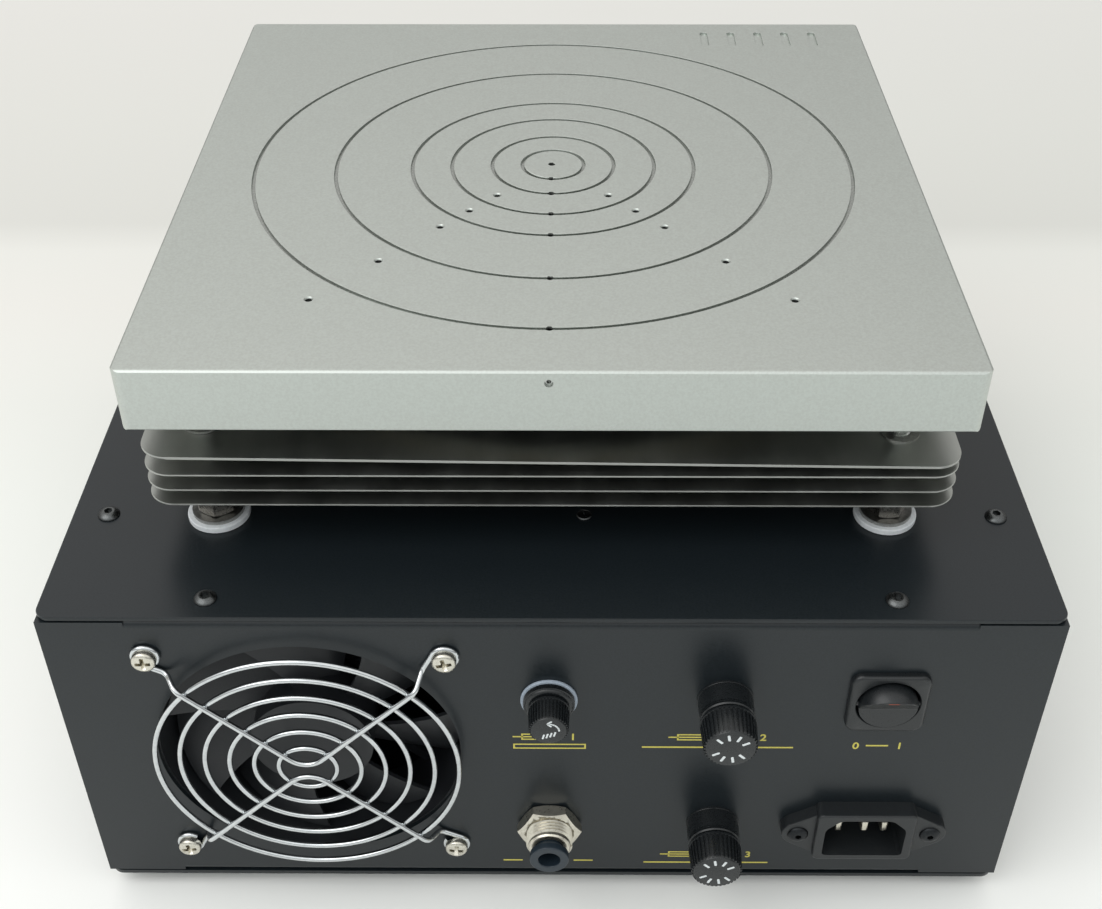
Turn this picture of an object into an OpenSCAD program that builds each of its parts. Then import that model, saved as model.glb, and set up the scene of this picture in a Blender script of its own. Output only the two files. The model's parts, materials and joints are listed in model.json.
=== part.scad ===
// Bench vacuum hot plate: a thick aluminium plate with vacuum grooves stands on four rods
// above a stack of thin heat shields, on a folded sheet-metal case.
// +Z is up, the connector panel (the rear) faces -Y and the control panel (the front) faces +Y.
// The origin is at the middle of the whole object, on the surface that it stands on.

/* [Case] */
// Width of the case, left to right
case_w = 280; // [262:1:340]
// Depth of the case, rear to front
case_d = 280; // [234:1:340]
// Height of the case over its lid and base plate, without the feet
case_h = 114; // [110:1:140]
// Thickness of the sheet steel
sheet_t = 1.5; // [1:0.1:2]
// Corner radius of the lid and the base plate
lid_corner_r = 4; // [1:0.5:10]
// Outer radius of the folds
fold_r = 2.5; // [2.2:0.1:4]
// Depth of the folded-in flanges
flange_w = 16; // [15:0.5:24]
// Width of the straight ears at the ends of each wall
ear_w = 24; // [20:1:40]
// Gap between the ears and the lid or base plate
ear_gap = 0.5; // [0.3:0.1:1]
// Thread diameter of the case screws
case_screw_d = 3.5; // [3:0.1:5]
// Head diameter of the case screws
case_screw_head_d = 6.4; // [5.5:0.1:9]
// Head height of the case screws
case_screw_head_h = 2; // [1.5:0.1:3]
// Distance of the rear and front case screws from their wall's face
end_screw_inset = 7.4; // [6:0.1:9]
// Distance of the side case screws from their wall's face
side_screw_inset = 10.6; // [8:0.1:11]
// Distance between the two rear case screws
end_screw_pitch = 189; // [150:1:200]
// Distance of the side case screws from the rear and front faces
side_screw_y = 42.4; // [35:0.1:60]
// Diameter of the rubber feet
foot_d = 22; // [16:1:30]
// Height of the rubber feet
foot_h = 6; // [5:0.5:15]
// Distance of the feet from the case's sides
foot_inset = 32; // [25:1:60]
// Number of cooling slots in each side wall
slot_count = 8; // [3:1:10]
// Width of a cooling slot
slot_w = 3; // [2:0.5:5]
// Height of a cooling slot
slot_h = 40; // [20:1:60]
// Distance between cooling slots
slot_pitch = 8; // [7:0.5:12]

/* [Hot plate] */
// Width and depth of the hot plate
plate_w = 228; // [216:1:240]
// Thickness of the hot plate
plate_t = 19.5; // [15:0.5:30]
// Height of the hot plate's underside above the lid
plate_gap = 43.5; // [43.5:0.5:60]
// Radius of the plate's upright corners
plate_corner_r = 3; // [1:0.5:8]
// Chamfer on the plate's edges
plate_chamfer = 0.6; // [0.3:0.1:1.5]
// Diameter of the first vacuum groove
groove_1_d = 19.5; // [16:0.5:22]
// Diameter of the second vacuum groove
groove_2_d = 38.5; // [36:0.5:42]
// Diameter of the third vacuum groove
groove_3_d = 64; // [60:0.5:68]
// Diameter of the fourth vacuum groove
groove_4_d = 89; // [86:0.5:94]
// Diameter of the fifth vacuum groove
groove_5_d = 137; // [130:0.5:142]
// Diameter of the sixth vacuum groove
groove_6_d = 188; // [180:0.5:192]
// Width of the grooves
groove_w = 1; // [0.6:0.1:2]
// Depth of the grooves
groove_depth = 0.8; // [0.4:0.1:1.5]
// Diameter of the vacuum holes
vacuum_hole_d = 1.2; // [0.8:0.1:2]
// Distance of the first pair of pin holes from the plate's centre
pin_1_r = 26.5; // [25:0.25:28]
// Distance of the second pair of pin holes from the plate's centre
pin_2_r = 39; // [36:0.25:41]
// Distance of the third pair of pin holes from the plate's centre
pin_3_r = 51.75; // [48:0.25:56]
// Distance of the fourth pair of pin holes from the plate's centre
pin_4_r = 77.25; // [74:0.25:84]
// Distance of the fifth pair of pin holes from the plate's centre
pin_5_r = 104; // [98:0.25:105]
// Angle of the pin holes either side of the plate's middle line
pin_angle = 40; // [30:1:42]
// Diameter of the pin holes
pin_hole_d = 1.8; // [1.2:0.1:3]
// Depth of the pin holes
pin_hole_depth = 6; // [4:0.5:10]
// Diameter of the cross-drilled vacuum channel
channel_d = 2.4; // [2:0.1:3]
// Depth of the channel's axis below the plate's top
channel_depth = 3.7; // [3:0.1:6]
// Distance of the vacuum pipe from the plate's centre
pipe_offset = 40; // [36:1:42]
// Outer diameter of the vacuum pipe
pipe_d = 4; // [3:0.1:6]
// Diameter of the temperature probe
probe_d = 3; // [2:0.1:5]
// Distance of the temperature probe from the plate's centre
probe_offset = 25; // [20:1:42]

/* [Heater] */
// Diameter of the heating element
heater_d = 196; // [170:1:204]
// Thickness of the heating element
heater_t = 3; // [2:0.5:4]
// Diameter of the clamp plate under the element
clamp_d = 200; // [174:1:208]
// Thickness of the clamp plate
clamp_t = 2; // [1.5:0.5:2.5]
// Diameter of the circle of clamp screws
clamp_pcd = 170; // [150:1:180]
// Thread diameter of the clamp screws
clamp_screw_d = 4; // [3:0.5:5]

/* [Heat shields and standoffs] */
// Width and depth of the heat shields
shield_w = 225; // [212:1:236]
// Thickness of the heat shields
shield_t = 0.8; // [0.5:0.1:1.2]
// Corner radius of the heat shields
shield_corner_r = 8; // [4:0.5:12]
// Distance from one shield to the next
shield_pitch = 5.2; // [4.5:0.1:5.4]
// Tilt of the top shield, which sits lower on one side
top_shield_tilt = 0.8; // [0:0.1:0.8]
// How much lower the middle of the top shield sits than an even stack gives
top_shield_drop = 0.5; // [0:0.1:0.6]
// Thread diameter of the standoff rods
rod_d = 6; // [5:0.5:8]
// Distance between the standoff rods, both ways
rod_pitch = 194; // [184:1:196]
// Width of the nuts on the rods, across their flats
rod_nut_af = 10; // [8:0.5:13]
// Height of the nuts on the rods
rod_nut_h = 5.2; // [4:0.1:5.2]
// Outer diameter of the insulating washers
insulator_d = 18; // [14:0.5:24]
// Thickness of the insulating washers
insulator_t = 2; // [1.5:0.1:3]
// Outer diameter of the steel washers
washer_d = 15; // [12:0.5:18]
// Thickness of the steel washers
washer_t = 1.2; // [1:0.1:1.8]
// Outer diameter of the tubes between the shields
spacer_d = 9; // [8:0.5:12]

/* [Rear panel layout] */
// Distance of the fan from the case's middle, towards the left seen from the rear
fan_x = -70.5; // [-74:0.5:-68]
// Height of the fan's centre above the panel's lower edge
fan_h = 56.5; // [48:0.5:62]
// Distance of the first column of connectors from the case's middle
column_1_x = -0.5; // [-6:0.5:4]
// Distance of the second column of connectors from the case's middle
column_2_x = 49.3; // [42:0.1:52]
// Distance of the third column of connectors from the case's middle
column_3_x = 95; // [84:0.5:96]
// Height of the upper row of connectors above the panel's lower edge
row_upper = 80.3; // [72:0.1:84]
// Height of the lower row of connectors above the panel's lower edge
row_lower = 24.6; // [22:0.1:32]

/* [Fan] */
// Width and height of the fan's frame
fan_w = 92; // [80:1:92]
// Depth of the fan's frame
fan_depth = 25; // [20:1:38]
// Distance between the fan's screws, both ways
fan_pitch = 82.5; // [71.5:0.5:82.5]
// Diameter of the fan's air duct
duct_d = 88; // [76:0.5:88]
// Diameter of the hole in the panel for the fan
fan_hole_d = 89; // [76:0.5:90]
// Diameter of the fan's hub
hub_d = 36; // [30:1:42]
// Gap between the blade tips and the duct
tip_gap = 1; // [0.5:0.1:2]
// Number of blades
blade_count = 7; // [5:1:9]
// Sweep of a blade from its root to its tip, in degrees
blade_sweep = 12; // [0:1:25]
// Angle that a blade covers, in degrees
blade_angle = 43; // [30:1:44]
// Thickness of a blade
blade_t = 1.4; // [1:0.1:2.5]
// Wire diameter of the finger guard
wire_d = 1.6; // [1.2:0.1:2]
// Number of rings in the finger guard
ring_count = 6; // [4:1:6]
// Radius of the guard's smallest ring
ring_r = 8.4; // [8:0.1:10]
// Distance between the guard's rings
ring_pitch = 7.1; // [5:0.1:7.1]
// Height of the guard's ring plane above the panel
guard_h = 5.2; // [4:0.1:8]
// Thread diameter of the fan screws
fan_screw_d = 3.5; // [3:0.1:4]
// Head diameter of the fan screws
fan_screw_head_d = 6.8; // [6:0.1:8]

/* [Fuse holders] */
// Collar diameter of the large fuse holders
large_collar_d = 16; // [14:0.1:18]
// Collar length of the large fuse holders
large_collar_h = 8.3; // [6:0.1:10]
// Thread diameter of the large fuse holders
large_thread_d = 12.6; // [12:0.1:13]
// Length of the large fuse holders behind the panel
large_body_l = 44; // [40:1:50]
// Diameter of the large fuse holders' caps
large_cap_d = 15.8; // [14:0.1:17]
// Length of the large fuse holders' caps
large_cap_h = 9.1; // [8:0.1:12]
// Diameter of the large fuses
large_fuse_d = 6.35; // [6:0.05:6.4]
// Length of the large fuses
large_fuse_l = 31.8; // [30:0.1:32]
// Flange diameter of the small fuse holder
small_collar_d = 14.6; // [14:0.1:16]
// Flange height of the small fuse holder, on its sealing ring
small_collar_h = 3.4; // [3:0.1:5]
// Thread diameter of the small fuse holder
small_thread_d = 11.8; // [11.5:0.1:12]
// Length of the small fuse holder behind the panel
small_body_l = 30; // [27:1:36]
// Diameter of the small fuse holder's cap
small_cap_d = 11.7; // [11:0.1:13]
// Length of the small fuse holder's cap
small_cap_h = 7.9; // [7:0.1:10]
// Diameter of the small fuse
small_fuse_d = 5.2; // [5:0.05:5.3]
// Length of the small fuse
small_fuse_l = 20; // [19:0.1:20]
// Outer diameter of the small fuse holder's sealing ring
seal_d = 16.2; // [15.5:0.1:18]
// Thickness of the sealing ring
seal_t = 1; // [0.6:0.1:1.5]
// Number of grip ribs round a cap
rib_count = 36; // [24:2:40]

/* [Vacuum fitting] */
// Thread diameter of the push-in fitting
fitting_thread_d = 14; // [13:0.1:15]
// Length of the fitting's thread outside the panel
fitting_out_l = 10; // [9:0.1:12]
// Length of the fitting behind the panel
fitting_in_l = 16; // [14:1:20]
// Width of the fitting's nuts, across their flats
fitting_nut_af = 17; // [16:0.5:19]
// Thickness of the fitting's outer nut
fitting_nut_h = 4.5; // [3:0.1:5]
// Diameter of the tube that the fitting takes
tube_d = 6; // [5.6:0.1:6.4]
// Diameter of the release collet's flange
collet_d = 11.7; // [11:0.1:12.5]
// Thickness of the release collet's flange
collet_t = 2.5; // [2:0.1:3]
// Travel of the release collet
collet_travel = 1.2; // [0.8:0.1:1.5]

/* [Mains switch and inlet] */
// Width and height of the switch's bezel
bezel_w = 22.5; // [22:0.5:26]
// Thickness of the switch's bezel
bezel_t = 2; // [1.5:0.1:3]
// Diameter of the round opening in the bezel
rocker_hole_d = 17.6; // [16:0.1:18]
// Tilt of the rocker to each side of its middle
rocker_tilt = 17; // [10:1:18]
// Slope of each half of the rocker's face, down to its middle line
rocker_slope = 17; // [8:1:18]
// Height of the face's middle line above the pivot
rocker_face_h = 1.75; // [1.4:0.05:2.2]
// Diameter of the rocker's pivot pins
pivot_d = 1.6; // [1.2:0.1:1.8]
// Distance between the inlet's screws
inlet_pitch = 40; // [38:0.5:42]
// Width of the inlet's raised block
inlet_block_w = 30; // [28:0.5:32]
// Height of the inlet's raised block
inlet_block_h = 21; // [20.5:0.5:25]
// Height of the inlet's raised block above the panel
inlet_block_t = 5.6; // [5:0.1:8]
// Thickness of the inlet's screw ears
inlet_ear_t = 4; // [3:0.1:4.5]
// Width of the inlet's socket
socket_w = 24.4; // [23:0.1:25]
// Height of the inlet's socket
socket_h = 16.4; // [15.5:0.1:17]
// Depth of the inlet's socket
socket_depth = 15.5; // [14:0.5:17]

/* [Front panel] */
// Width and height of the temperature controller's bezel
controller_w = 48; // [46:1:52]
// Height of the controller's bezel above the panel
controller_t = 8; // [6:0.5:12]
// Depth of the controller behind the panel
controller_l = 72; // [50:1:80]
// Distance of the controller from the case's middle
controller_x = 62; // [50:1:75]
// Width of a key
key_w = 10; // [8:0.5:11]
// Height of a key
key_h = 5.5; // [4:0.5:6]
// Height of a key above the bezel
key_proud = 1; // [0.8:0.1:1.5]
// Travel of a key
key_travel = 0.6; // [0.4:0.1:0.7]
// Distance of the vacuum button from the case's middle
button_x = -52; // [-80:1:-40]
// Diameter of the vacuum button
button_d = 13; // [11:0.5:13]
// Height of the vacuum button above its bush
button_proud = 3; // [2:0.1:4]
// Travel of the vacuum button
button_travel = 2; // [1:0.1:2.5]
// Flange diameter of the button's bush
bush_d = 19; // [18:0.5:22]
// Thread diameter of the button's bush
bush_thread_d = 16; // [15.5:0.5:16]

/* [Hidden] */
$fn = 64;

// Clearances: a loose hole round a screw, a seat, a running fit, a gap that keeps stacked pieces of
// one node apart, a gap round a moving piece, and a cut that passes a face
loose = 0.2;
seat = 0.1;
running = 0.05;
nip = 0.05;
moving_gap = 0.3;
cut = 1;

base_z = foot_h;
floor_z = base_z + sheet_t;
lid_top = base_z + case_h;
lid_z = lid_top - sheet_t;
inner_h = lid_z - floor_z;
panel_z = floor_z + ear_gap;
panel_h = inner_h - 2 * ear_gap;

cap_gap = 0.6;
large_reach = large_collar_h + cap_gap + large_cap_h;
front_reach = controller_t + key_proud;
rear_y = large_reach - (case_d + large_reach + front_reach) / 2;
front_y = rear_y + case_d;
mid_y = (rear_y + front_y) / 2;

plate_z = lid_top + plate_gap;
plate_top = plate_z + plate_t;
groove_d = [groove_1_d, groove_2_d, groove_3_d, groove_4_d, groove_5_d, groove_6_d];
pin_r = [pin_1_r, pin_2_r, pin_3_r, pin_4_r, pin_5_r];
pipe_y = mid_y - pipe_offset;
probe_y = mid_y + probe_offset;
channel_x = column_1_x;
pipe_seat_l = 8;
plug_l = 3;
plug_recess = 0.8;
probe_seat_l = 10;
rod_seat_l = 12;
clamp_screw_l = 10;
clamp_screw_count = 6;
mark_count = 5;
mark_w = 2.6;
mark_l = 12.5;
mark_pitch = 10;
mark_x = 75.5;
mark_y = 99.5;

rod_spots = [for (x = [-1, 1], y = [-1, 1]) [x * rod_pitch / 2, mid_y + y * rod_pitch / 2]];
rod_tail = 4;
nut_turn = 30;
stack_z = lid_top + insulator_t + washer_t;
lowest_shield_z = stack_z + 2 * (rod_nut_h + washer_t + nip);
function shield_z(i) = lowest_shield_z + (4 - i) * shield_pitch;
function tilt_drop(x) = top_shield_drop + x * tan(top_shield_tilt);
tilt_slack = 0.1;
retainer_t = 0.8;

screw_spots = concat(
    [for (x = [-1, 1], y = [rear_y + end_screw_inset, front_y - end_screw_inset])
        [x * end_screw_pitch / 2, y]],
    [for (x = [-1, 1], y = [rear_y + side_screw_y, front_y - side_screw_y])
        [x * (case_w / 2 - side_screw_inset), y]]);
case_screw_l = 6;
foot_spots = [for (x = [-1, 1], y = [rear_y + foot_inset, front_y - foot_inset])
    [x * (case_w / 2 - foot_inset), y]];
earth_x = 9.5;
earth_y = rear_y + 42.5;
earth_d = 2.5;

fan_spots = [for (x = [-1, 1], y = [-1, 1]) [x * fan_pitch / 2, y * fan_pitch / 2]];
fan_flange_t = 4;
fan_back = -sheet_t - fan_depth;
hub_front = -sheet_t - 2;
hub_wall = 1.8;
hub_l = fan_depth - 7;
blade_r = duct_d / 2 - tip_gap;
shaft_d = 4;
fan_turn = 32;

inlet_socket_chamfer = 4.4;
key_well = 2.6;
key_floor = key_travel + 0.3;
port_d = pipe_d;
port_l = 8;
valve_l = 30;
valve_w = 24;
pump_gap = 24;

// Frames of the four walls: X along the wall, Y up, Z out of its face
module at_rear(x, h) {
    translate([x, rear_y, panel_z + h]) rotate([90, 0, 0]) children();
}
module at_front(x, h) {
    translate([x, front_y, panel_z + h]) rotate([90, 0, 180]) children();
}

module rounded_square(w, h, r) {
    square([w - 2 * r, h], center = true);
    square([w, h - 2 * r], center = true);
    for (x = [-1, 1], y = [-1, 1]) {
        translate([x * (w / 2 - r), y * (h / 2 - r)]) circle(r);
    }
}
module hexagon(af, h) {
    cylinder(d = af / cos(30), h = h, $fn = 6);
}
module tube(d, bore, h) {
    difference() {
        cylinder(d = d, h = h);
        translate([0, 0, -cut]) cylinder(d = bore, h = h + 2 * cut);
    }
}
module hex_nut(af, bore, h) {
    difference() {
        hexagon(af, h);
        translate([0, 0, -cut]) cylinder(d = bore, h = h + 2 * cut);
    }
}

// A wall folded in at its top and bottom, with straight ears at both ends
module fold_profile() {
    translate([0, fold_r]) square([sheet_t, inner_h - 2 * fold_r]);
    for (s = [0, 1]) {
        translate([0, s * inner_h]) mirror([0, s]) {
            translate([fold_r, 0]) square([flange_w - fold_r, sheet_t]);
            intersection() {
                square(fold_r);
                translate([fold_r, fold_r]) difference() {
                    circle(fold_r);
                    circle(fold_r - sheet_t);
                }
            }
        }
    }
}
module folded_wall(w) {
    fold_l = w - 2 * ear_w;
    translate([-fold_l / 2, 0, 0]) rotate([90, 0, 90]) linear_extrude(fold_l) fold_profile();
    for (s = [0, 1]) {
        mirror([s, 0, 0]) translate([fold_l / 2, 0, ear_gap]) cube([ear_w, sheet_t, panel_h]);
    }
}
module flange_holes(spots) {
    for (p = spots) {
        translate([p[0], p[1], floor_z - cut]) cylinder(d = case_screw_d, h = inner_h + 2 * cut);
    }
}

module rear_panel() {
    color("#303234") difference() {
        translate([0, rear_y, floor_z]) folded_wall(case_w);
        flange_holes(screw_spots);
        at_rear(fan_x, fan_h) {
            translate([0, 0, -sheet_t - cut]) cylinder(d = fan_hole_d, h = sheet_t + 2 * cut);
            for (p = fan_spots) {
                translate([p[0], p[1], -sheet_t - cut]) {
                    cylinder(d = fan_screw_d + 2 * loose, h = sheet_t + 2 * cut);
                }
            }
        }
        at_rear(column_1_x, row_upper) panel_hole(small_thread_d);
        at_rear(column_2_x, row_upper) panel_hole(large_thread_d);
        at_rear(column_2_x, row_lower) panel_hole(large_thread_d);
        at_rear(column_1_x, row_lower) panel_hole(fitting_thread_d);
        at_rear(column_3_x, row_upper) translate([0, 0, -sheet_t / 2]) {
            cube([switch_body_w + 2 * seat, switch_body_w + 2 * seat, sheet_t + 2 * cut], center = true);
        }
        at_rear(column_3_x, row_lower) translate([0, 0, -sheet_t - cut]) {
            linear_extrude(sheet_t + 2 * cut) socket_outline(inlet_back_w + 2 * seat, inlet_back_h + 2 * seat);
            for (s = [-1, 1]) {
                translate([s * inlet_pitch / 2, 0, 0]) cylinder(d = inlet_screw_d, h = sheet_t + 2 * cut);
            }
        }
    }
}
module panel_hole(d) {
    translate([0, 0, -sheet_t - cut]) cylinder(d = d + 2 * seat, h = sheet_t + 2 * cut);
}

module front_panel() {
    color("#303234") difference() {
        translate([0, front_y, floor_z]) rotate([0, 0, 180]) folded_wall(case_w);
        flange_holes(screw_spots);
        at_front(-controller_x, panel_h / 2) translate([0, 0, -sheet_t / 2]) {
            cube([controller_w - 3, controller_w - 3, sheet_t + 2 * cut], center = true);
        }
        at_front(-button_x, panel_h / 2) panel_hole(bush_thread_d);
    }
}

side_l = case_d - 2 * sheet_t;
tab_h = panel_h - 2 * fold_r;
module side_wall(s) {
    color("#303234") difference() {
        union() {
            translate([s * case_w / 2, mid_y, floor_z]) rotate([0, 0, s * 90]) folded_wall(side_l);
            for (e = [-1, 1]) {
                translate([s * (case_w - flange_w) / 2, mid_y + e * (side_l - sheet_t) / 2, panel_z + panel_h / 2]) {
                    cube([flange_w, sheet_t, tab_h], center = true);
                }
            }
        }
        flange_holes(screw_spots);
        for (i = [0:slot_count - 1]) {
            slot_y = front_y - side_screw_y - i * slot_pitch;
            translate([s * case_w / 2, slot_y, panel_z + panel_h / 2]) rotate([0, 90, 0]) {
                linear_extrude(3 * sheet_t, center = true) rounded_square(slot_h, slot_w, slot_w / 2 - 0.01);
            }
        }
    }
}
module left_panel() {
    side_wall(-1);
}
module right_panel() {
    side_wall(1);
}

module lid_plate() {
    color("#2b2d2f") difference() {
        translate([0, mid_y, lid_z]) linear_extrude(sheet_t) rounded_square(case_w, case_d, lid_corner_r);
        for (p = screw_spots) {
            translate([p[0], p[1], lid_z - cut]) cylinder(d = case_screw_d + 2 * seat, h = sheet_t + 2 * cut);
        }
        for (p = rod_spots) {
            translate([p[0], p[1], lid_z - cut]) cylinder(d = bush_spigot_d + 2 * seat, h = sheet_t + 2 * cut);
        }
        translate([channel_x, pipe_y, lid_z - cut]) cylinder(d = pipe_d + 2, h = sheet_t + 2 * cut);
        translate([0, probe_y, lid_z - cut]) cylinder(d = probe_d + 2, h = sheet_t + 2 * cut);
        translate([earth_x, earth_y, lid_z - cut]) cylinder(d = earth_d + 2 * seat, h = sheet_t + 2 * cut);
    }
}
module base_plate() {
    color("#2b2d2f") difference() {
        translate([0, mid_y, base_z]) linear_extrude(sheet_t) rounded_square(case_w, case_d, lid_corner_r);
        for (p = screw_spots) {
            translate([p[0], p[1], base_z - cut]) cylinder(d = case_screw_d + 2 * seat, h = sheet_t + 2 * cut);
        }
        for (p = foot_spots) {
            translate([p[0], p[1], base_z - cut]) cylinder(d = foot_screw_d + 2 * seat, h = sheet_t + 2 * cut);
        }
    }
}

// Button-head screw, its head upwards from z = 0
module button_screw(d, head_d, head_h, l, socket) {
    difference() {
        union() {
            cylinder(d = head_d, h = head_h * 0.35);
            translate([0, 0, head_h * 0.35]) cylinder(d1 = head_d, d2 = head_d * 0.6, h = head_h * 0.65);
            translate([0, 0, -l]) cylinder(d = d, h = l + head_h / 4);
        }
        translate([0, 0, head_h * 0.45]) hexagon(socket, head_h);
    }
}
module case_screws() {
    color("#1c1d1e") for (p = screw_spots) {
        translate([p[0], p[1], lid_top]) case_screw();
        translate([p[0], p[1], base_z]) mirror([0, 0, 1]) case_screw();
    }
    color("#1c1d1e") translate([earth_x, earth_y, lid_top]) {
        button_screw(earth_d, earth_d * 1.75, earth_d * 0.36, case_screw_l, earth_d / 2);
    }
}
module case_screw() {
    button_screw(case_screw_d - 0.04, case_screw_head_d, case_screw_head_h, case_screw_l, case_screw_d * 0.6);
}

foot_screw_d = 4;
foot_recess_d = foot_d * 0.5;
foot_web = foot_h * 0.45;
module feet() {
    color("#17181a") for (p = foot_spots) {
        translate([p[0], p[1], 0]) difference() {
            cylinder(d1 = foot_d * 0.88, d2 = foot_d, h = foot_h);
            translate([0, 0, -cut]) cylinder(d = foot_recess_d, h = foot_h - foot_web + cut);
            cylinder(d = foot_screw_d + 2 * seat, h = foot_h + cut);
        }
    }
}
module foot_screws() {
    head_h = (foot_h - foot_web) * 0.7;
    color("#9a9c9e") for (p = foot_spots) {
        translate([p[0], p[1], foot_h - foot_web]) mirror([0, 0, 1]) {
            button_screw(foot_screw_d, foot_screw_d * 2, head_h, foot_web + sheet_t, foot_screw_d * 0.6);
        }
        translate([p[0], p[1], floor_z]) hex_nut(foot_screw_d * 1.75, foot_screw_d + 0.02, foot_screw_d * 0.8);
        translate([p[0], p[1], floor_z]) cylinder(d = foot_screw_d, h = foot_screw_d);
    }
}

// A square plate with chamfered long edges, its middle at the origin of its underside
module chamfered_plate(w, t, r, c) {
    difference() {
        linear_extrude(t) rounded_square(w, w, r);
        for (a = [0:90:270], z = [0, t]) {
            rotate([0, 0, a]) translate([w / 2, 0, z]) rotate([0, 45, 0]) {
                cube([c * sqrt(2), w + 2 * cut, c * sqrt(2)], center = true);
            }
        }
    }
}
module hot_plate() {
    color("#b4b8b2") difference() {
        translate([0, mid_y, plate_z]) chamfered_plate(plate_w, plate_t, plate_corner_r, plate_chamfer);
        translate([0, mid_y, plate_top]) {
            for (d = groove_d) {
                translate([0, 0, -groove_depth]) tube(d + groove_w, d - groove_w, groove_depth + cut);
                translate([channel_x, -sqrt(d * d / 4 - channel_x * channel_x), -channel_depth]) {
                    cylinder(d = vacuum_hole_d, h = channel_depth + cut);
                }
            }
            translate([0, 0, -channel_depth]) cylinder(d = vacuum_hole_d, h = channel_depth + cut);
            for (r = pin_r, a = [-pin_angle, pin_angle]) {
                rotate([0, 0, a]) translate([0, -r, -pin_hole_depth]) {
                    cylinder(d = pin_hole_d, h = pin_hole_depth + cut);
                }
            }
            for (i = [0:mark_count - 1]) {
                translate([mark_x + (i - (mark_count - 1) / 2) * mark_pitch, mark_y, -groove_depth]) {
                    linear_extrude(groove_depth + cut) rounded_square(mark_w, mark_l, mark_w / 2 - 0.01);
                }
            }
        }
        translate([channel_x, mid_y - plate_w / 2 - cut, plate_top - channel_depth]) rotate([-90, 0, 0]) {
            cylinder(d = channel_d, h = plate_w / 2 + 2 * cut);
        }
        translate([channel_x, pipe_y, plate_z - cut]) {
            cylinder(d = pipe_d + 2 * seat, h = pipe_seat_l + cut);
            cylinder(d = channel_d, h = plate_t - channel_depth + cut);
        }
        translate([0, probe_y, plate_z - cut]) cylinder(d = probe_d + 2 * seat, h = probe_seat_l + cut);
        for (p = rod_spots) {
            translate([p[0], p[1], plate_z - cut]) cylinder(d = rod_d + 2 * seat, h = rod_seat_l + cut);
        }
        clamp_holes(plate_z - cut, clamp_screw_l + cut, clamp_screw_d + 2 * seat);
    }
}
module clamp_holes(z, h, d) {
    for (i = [0:clamp_screw_count - 1]) {
        translate([0, mid_y, z]) rotate([0, 0, (i + 0.5) * 360 / clamp_screw_count]) {
            translate([clamp_pcd / 2, 0, 0]) cylinder(d = d, h = h);
        }
    }
}
module channel_plug() {
    color("#8f9294") translate([channel_x, mid_y - plate_w / 2 + plug_recess, plate_top - channel_depth]) {
        rotate([-90, 0, 0]) difference() {
            cylinder(d = channel_d - 0.02, h = plug_l);
            translate([0, 0, -cut]) hexagon(channel_d * 0.5, plug_l / 2 + cut);
        }
    }
}

module heater_layer(d, t, z) {
    difference() {
        translate([0, mid_y, z]) cylinder(d = d, h = t);
        translate([channel_x, pipe_y, z - cut]) cylinder(d = pipe_d + 2, h = t + 2 * cut);
        translate([0, probe_y, z - cut]) cylinder(d = probe_d + 2, h = t + 2 * cut);
        clamp_holes(z - cut, t + 2 * cut, clamp_screw_d + 2 * seat);
    }
}
module heater_disc() {
    color("#a89c84") heater_layer(heater_d, heater_t, plate_z - heater_t);
}
module heater_clamp() {
    color("#a7a9a8") heater_layer(clamp_d, clamp_t, plate_z - heater_t - clamp_t);
}
module clamp_screws() {
    color("#85888a") for (i = [0:clamp_screw_count - 1]) {
        translate([0, mid_y, plate_z - heater_t - clamp_t]) rotate([0, 0, (i + 0.5) * 360 / clamp_screw_count]) {
            translate([clamp_pcd / 2, 0, 0]) mirror([0, 0, 1]) {
                button_screw(clamp_screw_d, clamp_screw_d * 1.8, 2, heater_t + clamp_t + clamp_screw_l - 2, 2.5);
            }
        }
    }
}

module shield_sheet() {
    difference() {
        linear_extrude(shield_t) rounded_square(shield_w, shield_w, shield_corner_r);
        for (x = [-1, 1], y = [-1, 1]) {
            translate([x * rod_pitch / 2, y * rod_pitch / 2, -cut]) cylinder(d = rod_d + 3 * loose, h = shield_t + 2 * cut);
        }
        translate([channel_x, -pipe_offset, -cut]) cylinder(d = pipe_d + 2, h = shield_t + 2 * cut);
        translate([0, probe_offset, -cut]) cylinder(d = probe_d + 2, h = shield_t + 2 * cut);
    }
}
module heat_shield(i) {
    tilt = i == 1 ? top_shield_tilt : 0;
    drop = i == 1 ? top_shield_drop : 0;
    color("#c9cbc8") translate([0, mid_y, shield_z(i) - drop]) rotate([0, tilt, 0]) shield_sheet();
}
module heat_shield_1() {
    heat_shield(1);
}
module heat_shield_2() {
    heat_shield(2);
}
module heat_shield_3() {
    heat_shield(3);
}
module heat_shield_4() {
    heat_shield(4);
}

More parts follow.
